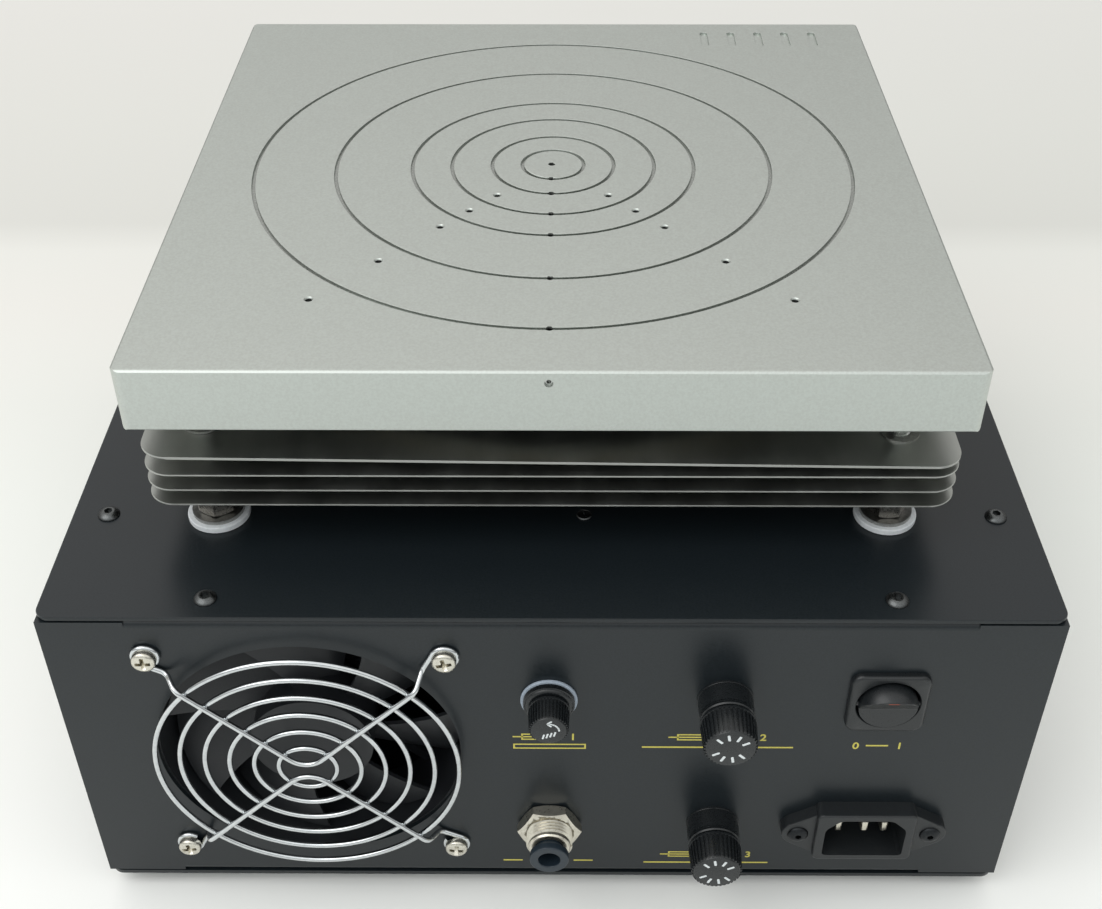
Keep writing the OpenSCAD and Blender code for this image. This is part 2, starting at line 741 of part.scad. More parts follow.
bush_spigot_d = rod_d + 3;
rod_bottom = lid_z - insulator_t - washer_t - rod_nut_h - rod_tail;
module standoff_rods() {
    color("#9c9e9f") for (p = rod_spots) {
        translate([p[0], p[1], rod_bottom]) cylinder(d = rod_d, h = plate_z + rod_seat_l - 1 - rod_bottom);
    }
}
module steel_nuts() {
    color("#8d8a86") {
        for (p = rod_spots, z = [stack_z, stack_z + rod_nut_h + nip, lid_z - insulator_t - washer_t - rod_nut_h]) {
            translate([p[0], p[1], z]) rotate([0, 0, p[0] < 0 ? nut_turn : 0]) hex_nut(rod_nut_af, rod_d + 0.02, rod_nut_h);
        }
        translate([earth_x, earth_y, lid_z - earth_d * 0.8]) hex_nut(earth_d * 2, earth_d + 0.02, earth_d * 0.8);
    }
}
module shield_spacers() {
    color("#b1b3b4") for (p = rod_spots, i = [2:4]) {
        drop = i == 2 ? tilt_drop(p[0]) + tilt_slack : 0;
        translate([p[0], p[1], shield_z(i) + shield_t]) {
            tube(spacer_d, rod_d + 2 * seat, shield_pitch - shield_t - drop);
        }
    }
}
module steel_washers() {
    under_shields = [lowest_shield_z - washer_t, lowest_shield_z - 2 * washer_t - nip];
    color("#a3a5a6") for (p = rod_spots) {
        for (z = concat([lid_top + insulator_t, lid_z - insulator_t - washer_t], under_shields)) {
            translate([p[0], p[1], z]) tube(washer_d, rod_d + 2 * seat, washer_t);
        }
        translate([p[0], p[1], shield_z(1) + shield_t - tilt_drop(p[0]) + tilt_slack]) {
            tube(rod_d + 5, rod_d + 0.02, retainer_t);
        }
    }
}
module insulating_washers() {
    color("#e9edf0") for (p = rod_spots) {
        translate([p[0], p[1], lid_top]) tube(insulator_d, rod_d + 2 * seat, insulator_t);
        translate([p[0], p[1], lid_z + nip]) tube(bush_spigot_d, rod_d + 2 * seat, sheet_t - nip);
        translate([p[0], p[1], lid_z - insulator_t]) tube(insulator_d, rod_d + 2 * seat, insulator_t);
    }
}
module temperature_probe() {
    probe_bottom = lid_z - 14;
    color("#b9bbbb") translate([0, probe_y, probe_bottom]) {
        cylinder(d = probe_d, h = plate_z + probe_seat_l - 0.2 - probe_bottom);
        translate([0, 0, -6]) cylinder(d = probe_d + 2, h = 8);
    }
}
pipe_bottom = lid_z - 18;
module vacuum_pipe() {
    color("#b9bbbb") translate([channel_x, pipe_y, pipe_bottom]) {
        tube(pipe_d, pipe_d - 1.6, plate_z + pipe_seat_l - 0.2 - pipe_bottom);
    }
}

// The fan, in the rear wall's frame with the panel's face at z = 0
module fan_frame() {
    color("#1b1c1e") at_rear(fan_x, fan_h) {
        difference() {
            union() {
                for (z = [fan_back, -sheet_t - fan_flange_t]) {
                    translate([0, 0, z]) linear_extrude(fan_flange_t) rounded_square(fan_w, fan_w, 4);
                }
                translate([0, 0, fan_back]) cylinder(d = fan_w, h = fan_depth);
            }
            translate([0, 0, fan_back - cut]) cylinder(d = duct_d, h = fan_depth + 2 * cut);
            for (p = fan_spots) {
                translate([p[0], p[1], fan_back - cut]) {
                    cylinder(d = fan_screw_d + 2 * loose, h = fan_depth + 2 * cut);
                    translate([0, 0, cut + fan_flange_t]) {
                        cylinder(d = fan_nut_af / cos(30) + 2, h = fan_depth - 2 * fan_flange_t);
                    }
                }
            }
        }
        translate([0, 0, fan_back]) {
            for (a = [45:90:315]) {
                rotate([0, 0, a]) translate([hub_d / 2 - 3, -1.5, 0]) {
                    cube([duct_d / 2 - hub_d / 2 + 3.2, 3, 2.4]);
                }
            }
            difference() {
                union() {
                    cylinder(d = hub_d, h = 3);
                    cylinder(d = shaft_d + 5, h = bearing_l);
                    translate([0, 0, 3]) cylinder(d = hub_d - 2 * hub_wall - 4, h = bearing_l - 5);
                }
                translate([0, 0, 1.5]) cylinder(d = shaft_d + 2 * running, h = bearing_l);
            }
        }
    }
}
bearing_l = fan_depth - 9;
fan_nut_af = fan_screw_d * 1.75;

// A blade is a curved plate, cut to a swept outline that widens towards its tip
blade_root_r = hub_d / 2 - hub_wall / 2;
blade_depth = hub_l - 3;
blade_chord = 2 * blade_r * sin(blade_angle / 2) + 2;
blade_bow_r = 2 * blade_chord;
blade_steps = 6;
function arm_angle(r) = blade_sweep * (r - blade_root_r) / (blade_r - blade_root_r);
function blade_edge(side) = [
    for (i = [0:blade_steps])
    let (r = blade_root_r + (blade_r - blade_root_r) * i / blade_steps, a = arm_angle(r) + side * blade_angle / 2)
    r * [cos(a), sin(a)]
];
module blade() {
    near = blade_edge(-1);
    far = blade_edge(1);
    pitch = atan2(blade_depth, blade_chord);
    intersection() {
        rotate([0, 0, blade_sweep * 0.7]) rotate([90, 0, 90]) linear_extrude(blade_r + 5) rotate(pitch) intersection() {
            translate([0, -blade_bow_r]) difference() {
                circle(blade_bow_r + blade_t / 2);
                circle(blade_bow_r - blade_t / 2);
            }
            square([2 * blade_chord, blade_chord], center = true);
        }
        translate([0, 0, -blade_depth / 2]) linear_extrude(blade_depth) intersection() {
            polygon(concat(near, [blade_r * 1.2 * [cos(blade_sweep), sin(blade_sweep)]], [for (i = [blade_steps:-1:0]) far[i]]));
            circle(blade_r);
        }
    }
}
module fan_impeller() {
    color("#222428") at_rear(fan_x, fan_h) {
        difference() {
            translate([0, 0, hub_front - hub_l]) cylinder(d = hub_d, h = hub_l);
            translate([0, 0, hub_front - hub_l - cut]) {
                cylinder(d = hub_d - 2 * hub_wall, h = hub_l - hub_wall + cut);
            }
        }
        translate([0, 0, fan_back + 2]) cylinder(d = shaft_d, h = hub_front - fan_back - 2 - hub_wall / 2);
        for (i = [0:blade_count - 1]) {
            rotate([0, 0, fan_turn + i * 360 / blade_count]) translate([0, 0, hub_front - hub_l / 2]) blade();
        }
    }
}

// Finger guard: rings, and two bent wires on them whose ends are open eyes round the screws
guard_z = guard_h + wire_d * 0.75;
apex_r = 6.5;
knee_r = 3;
leg_end = ring_r + (ring_count - 1) * ring_pitch + 3;
eye_r = fan_screw_d / 2 + wire_d + 0.1;
eye_x = norm([fan_pitch, fan_pitch]) / 2;
eye_slant = asin(eye_r / (eye_x - leg_end));
eye_flat = 7.2;
eye_angle = 280;
lap = 0.1;
function unit(v) = v / norm(v);
function turn(p, i) = acos(unit(p[i] - p[i - 1]) * unit(p[i + 1] - p[i]));
function trim(p, r, i) = i == 0 || i == len(p) - 1 ? 0 : r[i] * tan(turn(p, i) / 2);
// A bend that starts at p in direction u and turns towards c
module wire_arc(p, u, c, r, a) {
    n = cross(u, c);
    multmatrix([for (k = [0:2]) [-c[k], u[k], n[k], p[k] + r * c[k]]]) {
        rotate_extrude(angle = a) translate([r, 0]) circle(d = wire_d);
    }
}
// Straight lengths are a hair thicker than the bends and lap into them
module bent_wire(p, r) {
    for (i = [0:len(p) - 2]) {
        u = unit(p[i + 1] - p[i]);
        start = p[i] + (trim(p, r, i) - lap) * u;
        l = norm(p[i + 1] - p[i]) - trim(p, r, i) - trim(p, r, i + 1) + 2 * lap;
        translate(start) rotate([0, acos(u[2]), atan2(u[1], u[0])]) cylinder(d = wire_d * 1.02, h = l);
    }
    for (i = [1:len(p) - 2]) {
        u = unit(p[i] - p[i - 1]);
        v = unit(p[i + 1] - p[i]);
        wire_arc(p[i] - trim(p, r, i) * u, u, unit(v - (u * v) * u), r[i], turn(p, i));
    }
}
function leg_point(s, t, z) = [(s - t) / sqrt(2), (s + t) / sqrt(2), z];
module guard_wire() {
    heel = leg_point(eye_x - eye_r * sin(eye_slant), eye_r * cos(eye_slant), wire_d / 2);
    along = leg_point(cos(eye_slant), sin(eye_slant), 0);
    leg = [heel, heel - eye_flat * along, leg_point(leg_end, 0, guard_z)];
    far = [for (p = leg) [-p[1], p[0], p[2]]];
    bent_wire(concat(leg, [[0, 0, guard_z]], [far[2], far[1], far[0]]), [0, knee_r, knee_r, apex_r, knee_r, knee_r, 0]);
    for (a = [0, 90]) {
        rotate([0, 0, a]) wire_arc(heel, along, leg_point(sin(eye_slant), -cos(eye_slant), 0), eye_r, eye_angle);
    }
}
module fan_guard() {
    color("#c6cacc") at_rear(fan_x, fan_h) {
        for (i = [0:ring_count - 1]) {
            translate([0, 0, guard_h]) rotate_extrude() translate([ring_r + i * ring_pitch, 0]) circle(d = wire_d);
        }
        guard_wire();
        rotate([0, 0, 180]) guard_wire();
    }
}
module fan_fasteners() {
    shank_l = wire_d + sheet_t + fan_flange_t + 3.5;
    color("#d3d0c8") at_rear(fan_x, fan_h) for (p = fan_spots) {
        translate([p[0], p[1], wire_d]) {
            difference() {
                union() {
                    cylinder(d = fan_screw_head_d, h = 1);
                    translate([0, 0, 1]) cylinder(d1 = fan_screw_head_d, d2 = fan_screw_head_d * 0.7, h = 1.3);
                    translate([0, 0, -shank_l]) cylinder(d = fan_screw_d, h = shank_l + 1);
                }
                for (a = [0, 90]) {
                    rotate([0, 0, a]) translate([0, 0, 2.2]) cube([3.6, 0.8, 2.4], center = true);
                }
            }
        }
        translate([p[0], p[1], -sheet_t - fan_flange_t - 2.6]) hex_nut(fan_nut_af, fan_screw_d + 0.02, 2.5);
    }
}

// Round fuse holders, in the rear wall's frame. The cap's stem turns in the holder's throat.
module fuse_holder(collar_d, collar_h, thread_d, body_l, throat_d, fuse_d, seal) {
    color("#18191b") difference() {
        union() {
            translate([0, 0, seal]) cylinder(d = collar_d, h = collar_h - seal - 0.6);
            translate([0, 0, collar_h - 0.6]) cylinder(d1 = collar_d, d2 = collar_d - 1.2, h = 0.6);
            translate([0, 0, -body_l]) cylinder(d = thread_d, h = body_l + seal + 0.5);
            for (z = [-body_l - 6, -body_l * 0.55]) {
                translate([-1.5, thread_d / 2 - 0.6, z]) cube([3, 3.4, 0.8]);
                translate([-1.5, thread_d / 2 + 2, z]) cube([3, 0.8, 6.5]);
            }
            translate([-1.5, 0, -body_l - 6]) cube([3, thread_d / 2, 0.8]);
            translate([-1.5, -0.5, -body_l - 6]) cube([3, 1, 6.5]);
        }
        translate([0, 0, -body_l + 1.5]) cylinder(d = fuse_d + 2 * moving_gap, h = body_l + collar_h);
        translate([0, 0, -throat_l]) cylinder(d = throat_d, h = throat_l + collar_h + cut);
    }
}
throat_l = 4;
stem_wall = 1.2;
module fuse_cap(d, h, collar_h, fuse_d, fuse_front) {
    stem_d = fuse_d + 2 * stem_wall + 2 * running;
    color("#1f2122") translate([0, 0, collar_h + cap_gap]) difference() {
        union() {
            intersection() {
                linear_extrude(h) grip_outline(d);
                cylinder(d1 = d + 1.2, d2 = d * 0.885, h = h);
            }
            translate([0, 0, -collar_h - cap_gap - throat_l + 0.5]) cylinder(d = stem_d, h = collar_h + throat_l + cap_gap);
        }
        translate([0, 0, -collar_h - cap_gap - throat_l - cut]) {
            cylinder(d = fuse_d + 2 * running, h = fuse_front + throat_l + cut + running);
        }
    }
}
module grip_outline(d) {
    rib = 0.25;
    polygon([
        for (i = [0:rib_count - 1], k = [0:3])
        let (a = (i + k / 4) * 360 / rib_count, r = d / 2 - (k < 2 ? 0 : rib))
        r * [cos(a), sin(a)]
    ]);
}
module fuse_link(d, l, front) {
    color("#c9cdd0") translate([0, 0, front - l]) {
        cylinder(d = d, h = 6);
        cylinder(d = d - 0.5, h = l);
        translate([0, 0, l - 6]) cylinder(d = d, h = 6);
    }
}
function throat(fuse_d) = fuse_d + 2 * stem_wall + 2 * running + 2 * moving_gap;
large_fuse_front = large_collar_h - 1;
small_fuse_front = small_collar_h;
module large_holder() {
    fuse_holder(large_collar_d, large_collar_h, large_thread_d, large_body_l, throat(large_fuse_d), large_fuse_d, 0);
}
module large_cap() {
    fuse_cap(large_cap_d, large_cap_h, large_collar_h, large_fuse_d, large_fuse_front);
}
module large_fuse() {
    fuse_link(large_fuse_d, large_fuse_l, large_fuse_front);
}
module pump_fuse_holder() {
    at_rear(column_1_x, row_upper) {
        fuse_holder(small_collar_d, small_collar_h, small_thread_d, small_body_l, throat(small_fuse_d), small_fuse_d, seal_t);
    }
}
module pump_fuse_seal() {
    color("#a9b2bd") at_rear(column_1_x, row_upper) tube(seal_d, small_thread_d + 2 * seat, seal_t);
}
module pump_fuse_cap() {
    at_rear(column_1_x, row_upper) fuse_cap(small_cap_d, small_cap_h, small_collar_h, small_fuse_d, small_fuse_front);
}
module pump_fuse() {
    at_rear(column_1_x, row_upper) fuse_link(small_fuse_d, small_fuse_l, small_fuse_front);
}
module heater_fuse_holder() {
    at_rear(column_2_x, row_upper) large_holder();
}
module heater_fuse_cap() {
    at_rear(column_2_x, row_upper) large_cap();
}
module heater_fuse() {
    at_rear(column_2_x, row_upper) large_fuse();
}
module mains_fuse_holder() {
    at_rear(column_2_x, row_lower) large_holder();
}
module mains_fuse_cap() {
    at_rear(column_2_x, row_lower) large_cap();
}
module mains_fuse() {
    at_rear(column_2_x, row_lower) large_fuse();
}
module fuse_holder_nuts() {
    nut_h = 3;
    color("#222325") {
        at_rear(column_1_x, row_upper) translate([0, 0, -sheet_t - nut_h]) hex_nut(small_thread_d + 3, small_thread_d + 0.02, nut_h);
        for (row = [row_upper, row_lower]) {
            at_rear(column_2_x, row) translate([0, 0, -sheet_t - nut_h]) hex_nut(large_thread_d + 3, large_thread_d + 0.02, nut_h);
        }
    }
}

// Push-in vacuum fitting: the tube passes the collet and seats in the body
tube_seat_l = 11;
sleeve_floor = 1;
sleeve_d = tube_d + 2.4;
collet_gap = collet_travel + moving_gap;
module vacuum_fitting() {
    color("#c9c3b4") at_rear(column_1_x, row_lower) difference() {
        union() {
            translate([0, 0, -fitting_in_l]) cylinder(d = fitting_thread_d, h = fitting_in_l + fitting_out_l - 1);
            translate([0, 0, fitting_out_l - 1]) cylinder(d1 = fitting_thread_d, d2 = fitting_thread_d - 2, h = 1);
            translate([0, 0, -sheet_t - 4]) hexagon(fitting_nut_af, 4);
            translate([0, 0, -fitting_in_l - port_l]) cylinder(d = port_d, h = port_l + 1);
        }
        translate([0, 0, sleeve_floor]) cylinder(d = sleeve_d + 2 * moving_gap, h = fitting_out_l);
        translate([0, 0, sleeve_floor - tube_seat_l]) cylinder(d = tube_d + 2 * seat, h = tube_seat_l + cut);
        translate([0, 0, -fitting_in_l - port_l - cut]) cylinder(d = port_d - 2, h = fitting_in_l + port_l);
    }
}
module fitting_nut() {
    color("#cdc8ba") at_rear(column_1_x, row_lower) hex_nut(fitting_nut_af, fitting_thread_d + 0.02, fitting_nut_h);
}
module release_collet() {
    sleeve_l = fitting_out_l + collet_gap - sleeve_floor - collet_travel - moving_gap;
    color("#1d2935") at_rear(column_1_x, row_lower) translate([0, 0, fitting_out_l + collet_gap]) {
        tube(collet_d, tube_d + 3 * loose, collet_t);
        translate([0, 0, -sleeve_l]) tube(sleeve_d, tube_d + 3 * loose, sleeve_l + collet_t / 2);
    }
}

// Mains switch: a round rocker with a ball-shaped side turns in a round opening. The two halves of
// its face slope down to the middle line, so that the half that isn't pressed stands out.
switch_body_w = 20.4;
pivot_z = bezel_t - 1.1;
ball_h = 1;
rocker_r = rocker_hole_d / 2 - ball_h * sin(rocker_tilt) - seat;
pivot_span = rocker_hole_d + 1.6;
module switch_housing() {
    color("#1b1c1e") at_rear(column_3_x, row_upper) difference() {
        union() {
            linear_extrude(bezel_t) rounded_square(bezel_w, bezel_w, 3.5);
            translate([0, 0, -9]) cube([switch_body_w, switch_body_w, 18 + bezel_t], center = true);
            for (x = [-6, 0, 6]) {
                translate([x, 0, -22]) cube([0.8, 4.8, 10], center = true);
            }
        }
        translate([0, 0, -12]) cylinder(d = rocker_hole_d, h = 12 + bezel_t + cut);
        translate([0, 0, pivot_z]) rotate([0, 90, 0]) {
            cylinder(d = pivot_d + 2 * running, h = pivot_span + 2 * running, center = true);
        }
    }
}
module switch_rocker() {
    wedge_w = 2 * rocker_r;
    wedge_h = rocker_face_h + wedge_w * tan(rocker_slope);
    color("#202123") at_rear(column_3_x, row_upper) translate([0, 0, pivot_z]) rotate([rocker_tilt, 0, 0]) {
        difference() {
            translate([0, 0, ball_h]) sphere(r = rocker_r);
            rotate([90, 0, 90]) linear_extrude(2 * wedge_w, center = true) {
                polygon([
                    [0, rocker_face_h], [wedge_w, wedge_h], [wedge_w, wedge_h + rocker_r],
                    [-wedge_w, wedge_h + rocker_r], [-wedge_w, wedge_h]
                ]);
            }
            translate([0, 0, -1.5 * rocker_r]) cube([2 * wedge_w, 2 * wedge_w, 2 * rocker_r], center = true);
        }
        rotate([0, 90, 0]) cylinder(d = pivot_d, h = pivot_span, center = true);
    }
}

// Mains inlet with a shrouded socket for a detachable lead
inlet_back_w = 27;
inlet_back_h = 19.4;
inlet_screw_d = 3.2;
inlet_screw_head_d = 6;
module socket_outline(w, h) {
    c = inlet_socket_chamfer;
    polygon([
        [-w / 2, -h / 2], [w / 2, -h / 2], [w / 2, h / 2 - c],
        [w / 2 - c, h / 2], [-w / 2 + c, h / 2], [-w / 2, h / 2 - c]
    ]);
}
// The outline of the ears: straight sides from the block's corners, tangent to the round ends
ear_r = 5;
function tangent_point(e, r, c) =
    let (v = c - e, a = atan2(v[1], v[0]) - acos(r / norm(v)))
    e + r * [cos(a), sin(a)];
module ear_outline() {
    shoulder = [inlet_block_w / 2 - 3, inlet_block_h / 2];
    t = tangent_point([inlet_pitch / 2, 0], ear_r, shoulder);
    polygon([
        shoulder, t, [t[0], -t[1]], [shoulder[0], -shoulder[1]],
        -shoulder, [-t[0], -t[1]], [-t[0], t[1]], [-shoulder[0], shoulder[1]]
    ]);
    for (s = [-1, 1]) {
        translate([s * inlet_pitch / 2, 0]) circle(ear_r);
    }
}
module inlet_body() {
    socket_z = inlet_block_t - socket_depth;
    color("#1c1d1f") at_rear(column_3_x, row_lower) difference() {
        union() {
            linear_extrude(inlet_ear_t) ear_outline();
            linear_extrude(inlet_block_t) rounded_square(inlet_block_w, inlet_block_h, 2);
            translate([0, 0, -18]) linear_extrude(18.5) socket_outline(inlet_back_w, inlet_back_h);
        }
        translate([0, 0, socket_z]) linear_extrude(socket_depth + cut) socket_outline(socket_w, socket_h);
        for (p = pin_spots) {
            translate([p[0], p[1], -20]) cube([pin_w + 0.02, pin_l + 0.02, 40], center = true);
        }
        for (s = [-1, 1]) {
            translate([s * inlet_pitch / 2, 0, -cut]) cylinder(d = inlet_screw_d + 2 * loose, h = inlet_ear_t + 2 * cut);
            translate([s * inlet_pitch / 2, 0, inlet_ear_t - 1.6]) {
                cylinder(d1 = inlet_screw_d + 2 * loose, d2 = inlet_screw_head_d + 2 * loose, h = 1.6);
            }
        }
    }
}
pin_w = 2;
pin_l = 4;
// Each pin's place and how far its tip is below the block's face; the earth pin is the longest
pin_spots = [[-7, -1, 5], [7, -1, 5], [0, 3, 2]];
module inlet_pins() {
    color("#cfd2d4") at_rear(column_3_x, row_lower) for (p = pin_spots) {
        tip = inlet_block_t - p[2];
        translate([p[0], p[1], (tip - 26) / 2]) cube([pin_w, pin_l, tip + 26], center = true);
    }
}
module inlet_screws() {
    color("#141516") at_rear(column_3_x, row_lower) for (s = [-1, 1]) {
        translate([s * inlet_pitch / 2, 0, 0]) {
            difference() {
                union() {
                    translate([0, 0, inlet_ear_t - 1.7]) cylinder(d1 = inlet_screw_d, d2 = inlet_screw_head_d, h = 1.5);
                    translate([0, 0, -6]) cylinder(d = inlet_screw_d - 0.02, h = inlet_ear_t + 4.5);
                }
                translate([0, 0, inlet_ear_t - 1.2]) hexagon(2, 2);
            }
            translate([0, 0, -sheet_t - 2.4]) hex_nut(5.5, inlet_screw_d, 2.4);
        }
    }
}

// Inside: a valve chooses between the outer vacuum line and the built-in pump
valve_port_z = panel_z + row_lower;
valve_top = valve_port_z + 12;
module vacuum_valve() {
    color("#7d8287") difference() {
        union() {
            translate([channel_x - valve_w / 2, pipe_y - valve_l / 2, floor_z]) cube([valve_w, valve_l, valve_top - floor_z]);
            translate([channel_x + valve_w / 2 + 14, pipe_y, floor_z + 14]) cube([28.2, 26, 26], center = true);
            for (s = [-1, 1]) {
                translate([channel_x, pipe_y + s * valve_l / 2, valve_port_z]) rotate([-s * 90, 0, 0]) {
                    cylinder(d = port_d, h = port_l);
                }
            }
            translate([channel_x, pipe_y, valve_top]) cylinder(d = port_d, h = port_l);
        }
        translate([channel_x, pipe_y - valve_l / 2 - port_l - cut, valve_port_z]) rotate([-90, 0, 0]) {
            cylinder(d = port_d - 2, h = valve_l + 2 * port_l + 2 * cut);
        }
        translate([channel_x, pipe_y, valve_port_z]) cylinder(d = port_d - 2, h = 30);
    }
}
pump_y = pipe_y + valve_l / 2 + pump_gap;
pump_head = [44, 30, 44];
motor_d = 34;
motor_l = 50;
module vacuum_pump() {
    head_z = valve_port_z - pump_head[2] / 2;
    color("#55585b") {
        translate([channel_x - pump_head[0] / 2, pump_y, head_z]) cube(pump_head);
        translate([channel_x - pump_head[0] / 2 + 4, pump_y + 4, floor_z]) {
            cube([pump_head[0] - 8, pump_head[1] - 8, head_z - floor_z + 1]);
        }
        translate([channel_x, pump_y + pump_head[1], valve_port_z]) rotate([-90, 0, 0]) {
            cylinder(d = motor_d, h = motor_l);
            cylinder(d = motor_d / 3, h = motor_l + 3);
        }
        for (x = [0, 12]) {
            translate([channel_x + x, pump_y - port_l, valve_port_z]) rotate([-90, 0, 0]) {
                tube(port_d, port_d - 2, port_l + 1);
            }
        }
    }
}
hose_d = pipe_d + 3;
module hose(l) {
    tube(hose_d, port_d + 2 * seat, l);
}
module vacuum_hoses() {
    hose_y = rear_y + fitting_in_l + moving_gap;
    color("#cfd6da") {
        translate([channel_x, hose_y, valve_port_z]) rotate([-90, 0, 0]) {
            hose(pipe_y - valve_l / 2 - moving_gap - hose_y);
        }
        translate([channel_x, pipe_y + valve_l / 2 + moving_gap, valve_port_z]) rotate([-90, 0, 0]) {
            hose(pump_gap - 2 * moving_gap);
        }
        translate([channel_x, pipe_y, valve_top + moving_gap]) hose(pipe_bottom + 10 - valve_top);
    }
}
module power_supply() {
    size = [60, 110, 38];
    color("#a5a8aa") translate([-size[0] / 2 - 84, mid_y - 50, floor_z]) difference() {
        cube(size);
        for (i = [0:9], x = [14, 46]) {
            translate([x, 14 + i * 9, size[2] - 1.5]) cylinder(d = 5, h = 3);
        }
        translate([6, -cut, size[2] - 14]) cube([size[0] - 12, 10 + cut, 16]);
    }
}
module solid_state_relay() {
    fin_count = 9;
    sink = [64, 70, 26];
    color("#8e9193") translate([50, mid_y - 84, floor_z]) {
        for (i = [0:fin_count - 1]) {
            translate([i * (sink[0] - 2) / (fin_count - 1), 0, 0]) cube([2, sink[1], sink[2] - 4]);
        }
        translate([0, 0, sink[2] - 5]) cube([sink[0], sink[1], 5]);
        translate([10, 6, sink[2] - 0.5]) cube([44, 58, 23]);
    }
}

// Front: a temperature controller with three keys, and a vacuum button
key_spots = [-13, 0, 13];
key_y = -15;
window_w = 40;
window_h = 24;
window_t = 1.5;
controller_back_w = controller_w - 3.4;
module controller_case() {
    color("#26282b") at_front(-controller_x, panel_h / 2) difference() {
        union() {
            linear_extrude(controller_t) rounded_square(controller_w, controller_w, 2.5);
            translate([0, 0, -controller_l / 2]) cube([controller_back_w, controller_back_w, controller_l + 1], center = true);
        }
        translate([0, 6.5, controller_t]) cube([window_w + 2 * seat, window_h + 2 * seat, 2 * window_t], center = true);
        for (x = key_spots) {
            translate([x, key_y, controller_t]) {
                cube([key_w + 2 * moving_gap, key_h + 2 * moving_gap, 2 * key_well], center = true);
            }
        }
    }
}
module controller_window() {
    color("#3a1416") at_front(-controller_x, panel_h / 2) {
        translate([0, 6.5, controller_t - window_t / 2]) cube([window_w, window_h, window_t], center = true);
    }
}
module key(x) {
    color("#6c7075") at_front(-controller_x, panel_h / 2) {
        translate([x, key_y, controller_t - key_well + key_floor]) {
            linear_extrude(key_well - key_floor + key_proud) rounded_square(key_w, key_h, 1);
        }
    }
}
module menu_key() {
    key(key_spots[0]);
}
module down_key() {
    key(key_spots[1]);
}
module up_key() {
    key(key_spots[2]);
}
bush_t = 2;
bush_l = 20;
module button_bush() {
    color("#b8bbbd") at_front(-button_x, panel_h / 2) difference() {
        union() {
            cylinder(d = bush_d, h = bush_t);
            translate([0, 0, -bush_l]) cylinder(d = bush_thread_d, h = bush_l + 0.5);
            translate([0, 0, -sheet_t - 3]) hexagon(bush_d + 1, 3);
        }
        translate([0, 0, -10]) cylinder(d = button_d + 2 * moving_gap, h = 10 + bush_t + cut);
    }
}
module vacuum_button() {
    color("#aeb1b3") at_front(-button_x, panel_h / 2) {
        translate([0, 0, -10 + button_travel + moving_gap]) {
            cylinder(d = button_d, h = 10 - button_travel - moving_gap + bush_t + button_proud);
        }
    }
}

rear_panel();
front_panel();
left_panel();
right_panel();
lid_plate();
base_plate();
case_screws();
feet();
foot_screws();
hot_plate();
channel_plug();
heater_disc();
heater_clamp();
clamp_screws();
heat_shield_1();
heat_shield_2();
heat_shield_3();
heat_shield_4();
standoff_rods();
steel_nuts();
shield_spacers();
steel_washers();
insulating_washers();
temperature_probe();
vacuum_pipe();
fan_frame();
fan_impeller();
fan_guard();
fan_fasteners();
pump_fuse_holder();
pump_fuse_seal();
pump_fuse_cap();
pump_fuse();
heater_fuse_holder();
heater_fuse_cap();
heater_fuse();
mains_fuse_holder();
mains_fuse_cap();
mains_fuse();
fuse_holder_nuts();
vacuum_fitting();
fitting_nut();
release_collet();
switch_housing();
switch_rocker();
inlet_body();
inlet_pins();
inlet_screws();
vacuum_pump();
vacuum_valve();
vacuum_hoses();
power_supply();
solid_state_relay();
controller_case();
controller_window();
menu_key();
down_key();
up_key();
button_bush();
vacuum_button();
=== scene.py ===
import json
import math

import bmesh
import bpy
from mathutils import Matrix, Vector

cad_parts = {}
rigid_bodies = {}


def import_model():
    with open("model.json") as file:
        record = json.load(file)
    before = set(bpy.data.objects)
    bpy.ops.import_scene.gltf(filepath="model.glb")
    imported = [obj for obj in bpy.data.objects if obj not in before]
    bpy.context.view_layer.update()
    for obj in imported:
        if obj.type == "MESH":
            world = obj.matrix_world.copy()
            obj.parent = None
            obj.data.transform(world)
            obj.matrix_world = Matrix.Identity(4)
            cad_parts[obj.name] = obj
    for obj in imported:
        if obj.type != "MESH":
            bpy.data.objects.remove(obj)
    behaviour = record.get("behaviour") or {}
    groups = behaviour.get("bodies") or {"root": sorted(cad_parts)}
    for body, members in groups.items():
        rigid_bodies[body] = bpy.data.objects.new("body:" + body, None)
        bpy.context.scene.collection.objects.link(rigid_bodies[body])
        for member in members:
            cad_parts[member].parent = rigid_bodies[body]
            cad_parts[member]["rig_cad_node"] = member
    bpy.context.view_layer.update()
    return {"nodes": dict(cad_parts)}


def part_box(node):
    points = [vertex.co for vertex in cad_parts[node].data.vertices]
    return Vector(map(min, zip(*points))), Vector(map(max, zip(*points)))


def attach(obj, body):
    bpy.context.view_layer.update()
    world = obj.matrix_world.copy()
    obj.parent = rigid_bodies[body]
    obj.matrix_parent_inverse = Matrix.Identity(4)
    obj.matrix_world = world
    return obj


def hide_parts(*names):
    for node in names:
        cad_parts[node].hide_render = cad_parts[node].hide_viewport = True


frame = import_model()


# The place it is photographed in: a plain pale table under a broad soft light. The camera stands over the
# rear panel's side and looks down on the plate.
def deselect():
    """Leaves nothing selected, so that an operator only acts on what is picked next."""
    for chosen in bpy.context.selected_objects:
        chosen.select_set(False)


def linear(code):
    """An sRGB hex colour as the linear colour that a shader takes."""
    parts = [int(code[i:i + 2], 16) / 255 for i in (1, 3, 5)]
    return [c / 12.92 if c <= 0.04045 else ((c + 0.055) / 1.055) ** 2.4 for c in parts] + [1]


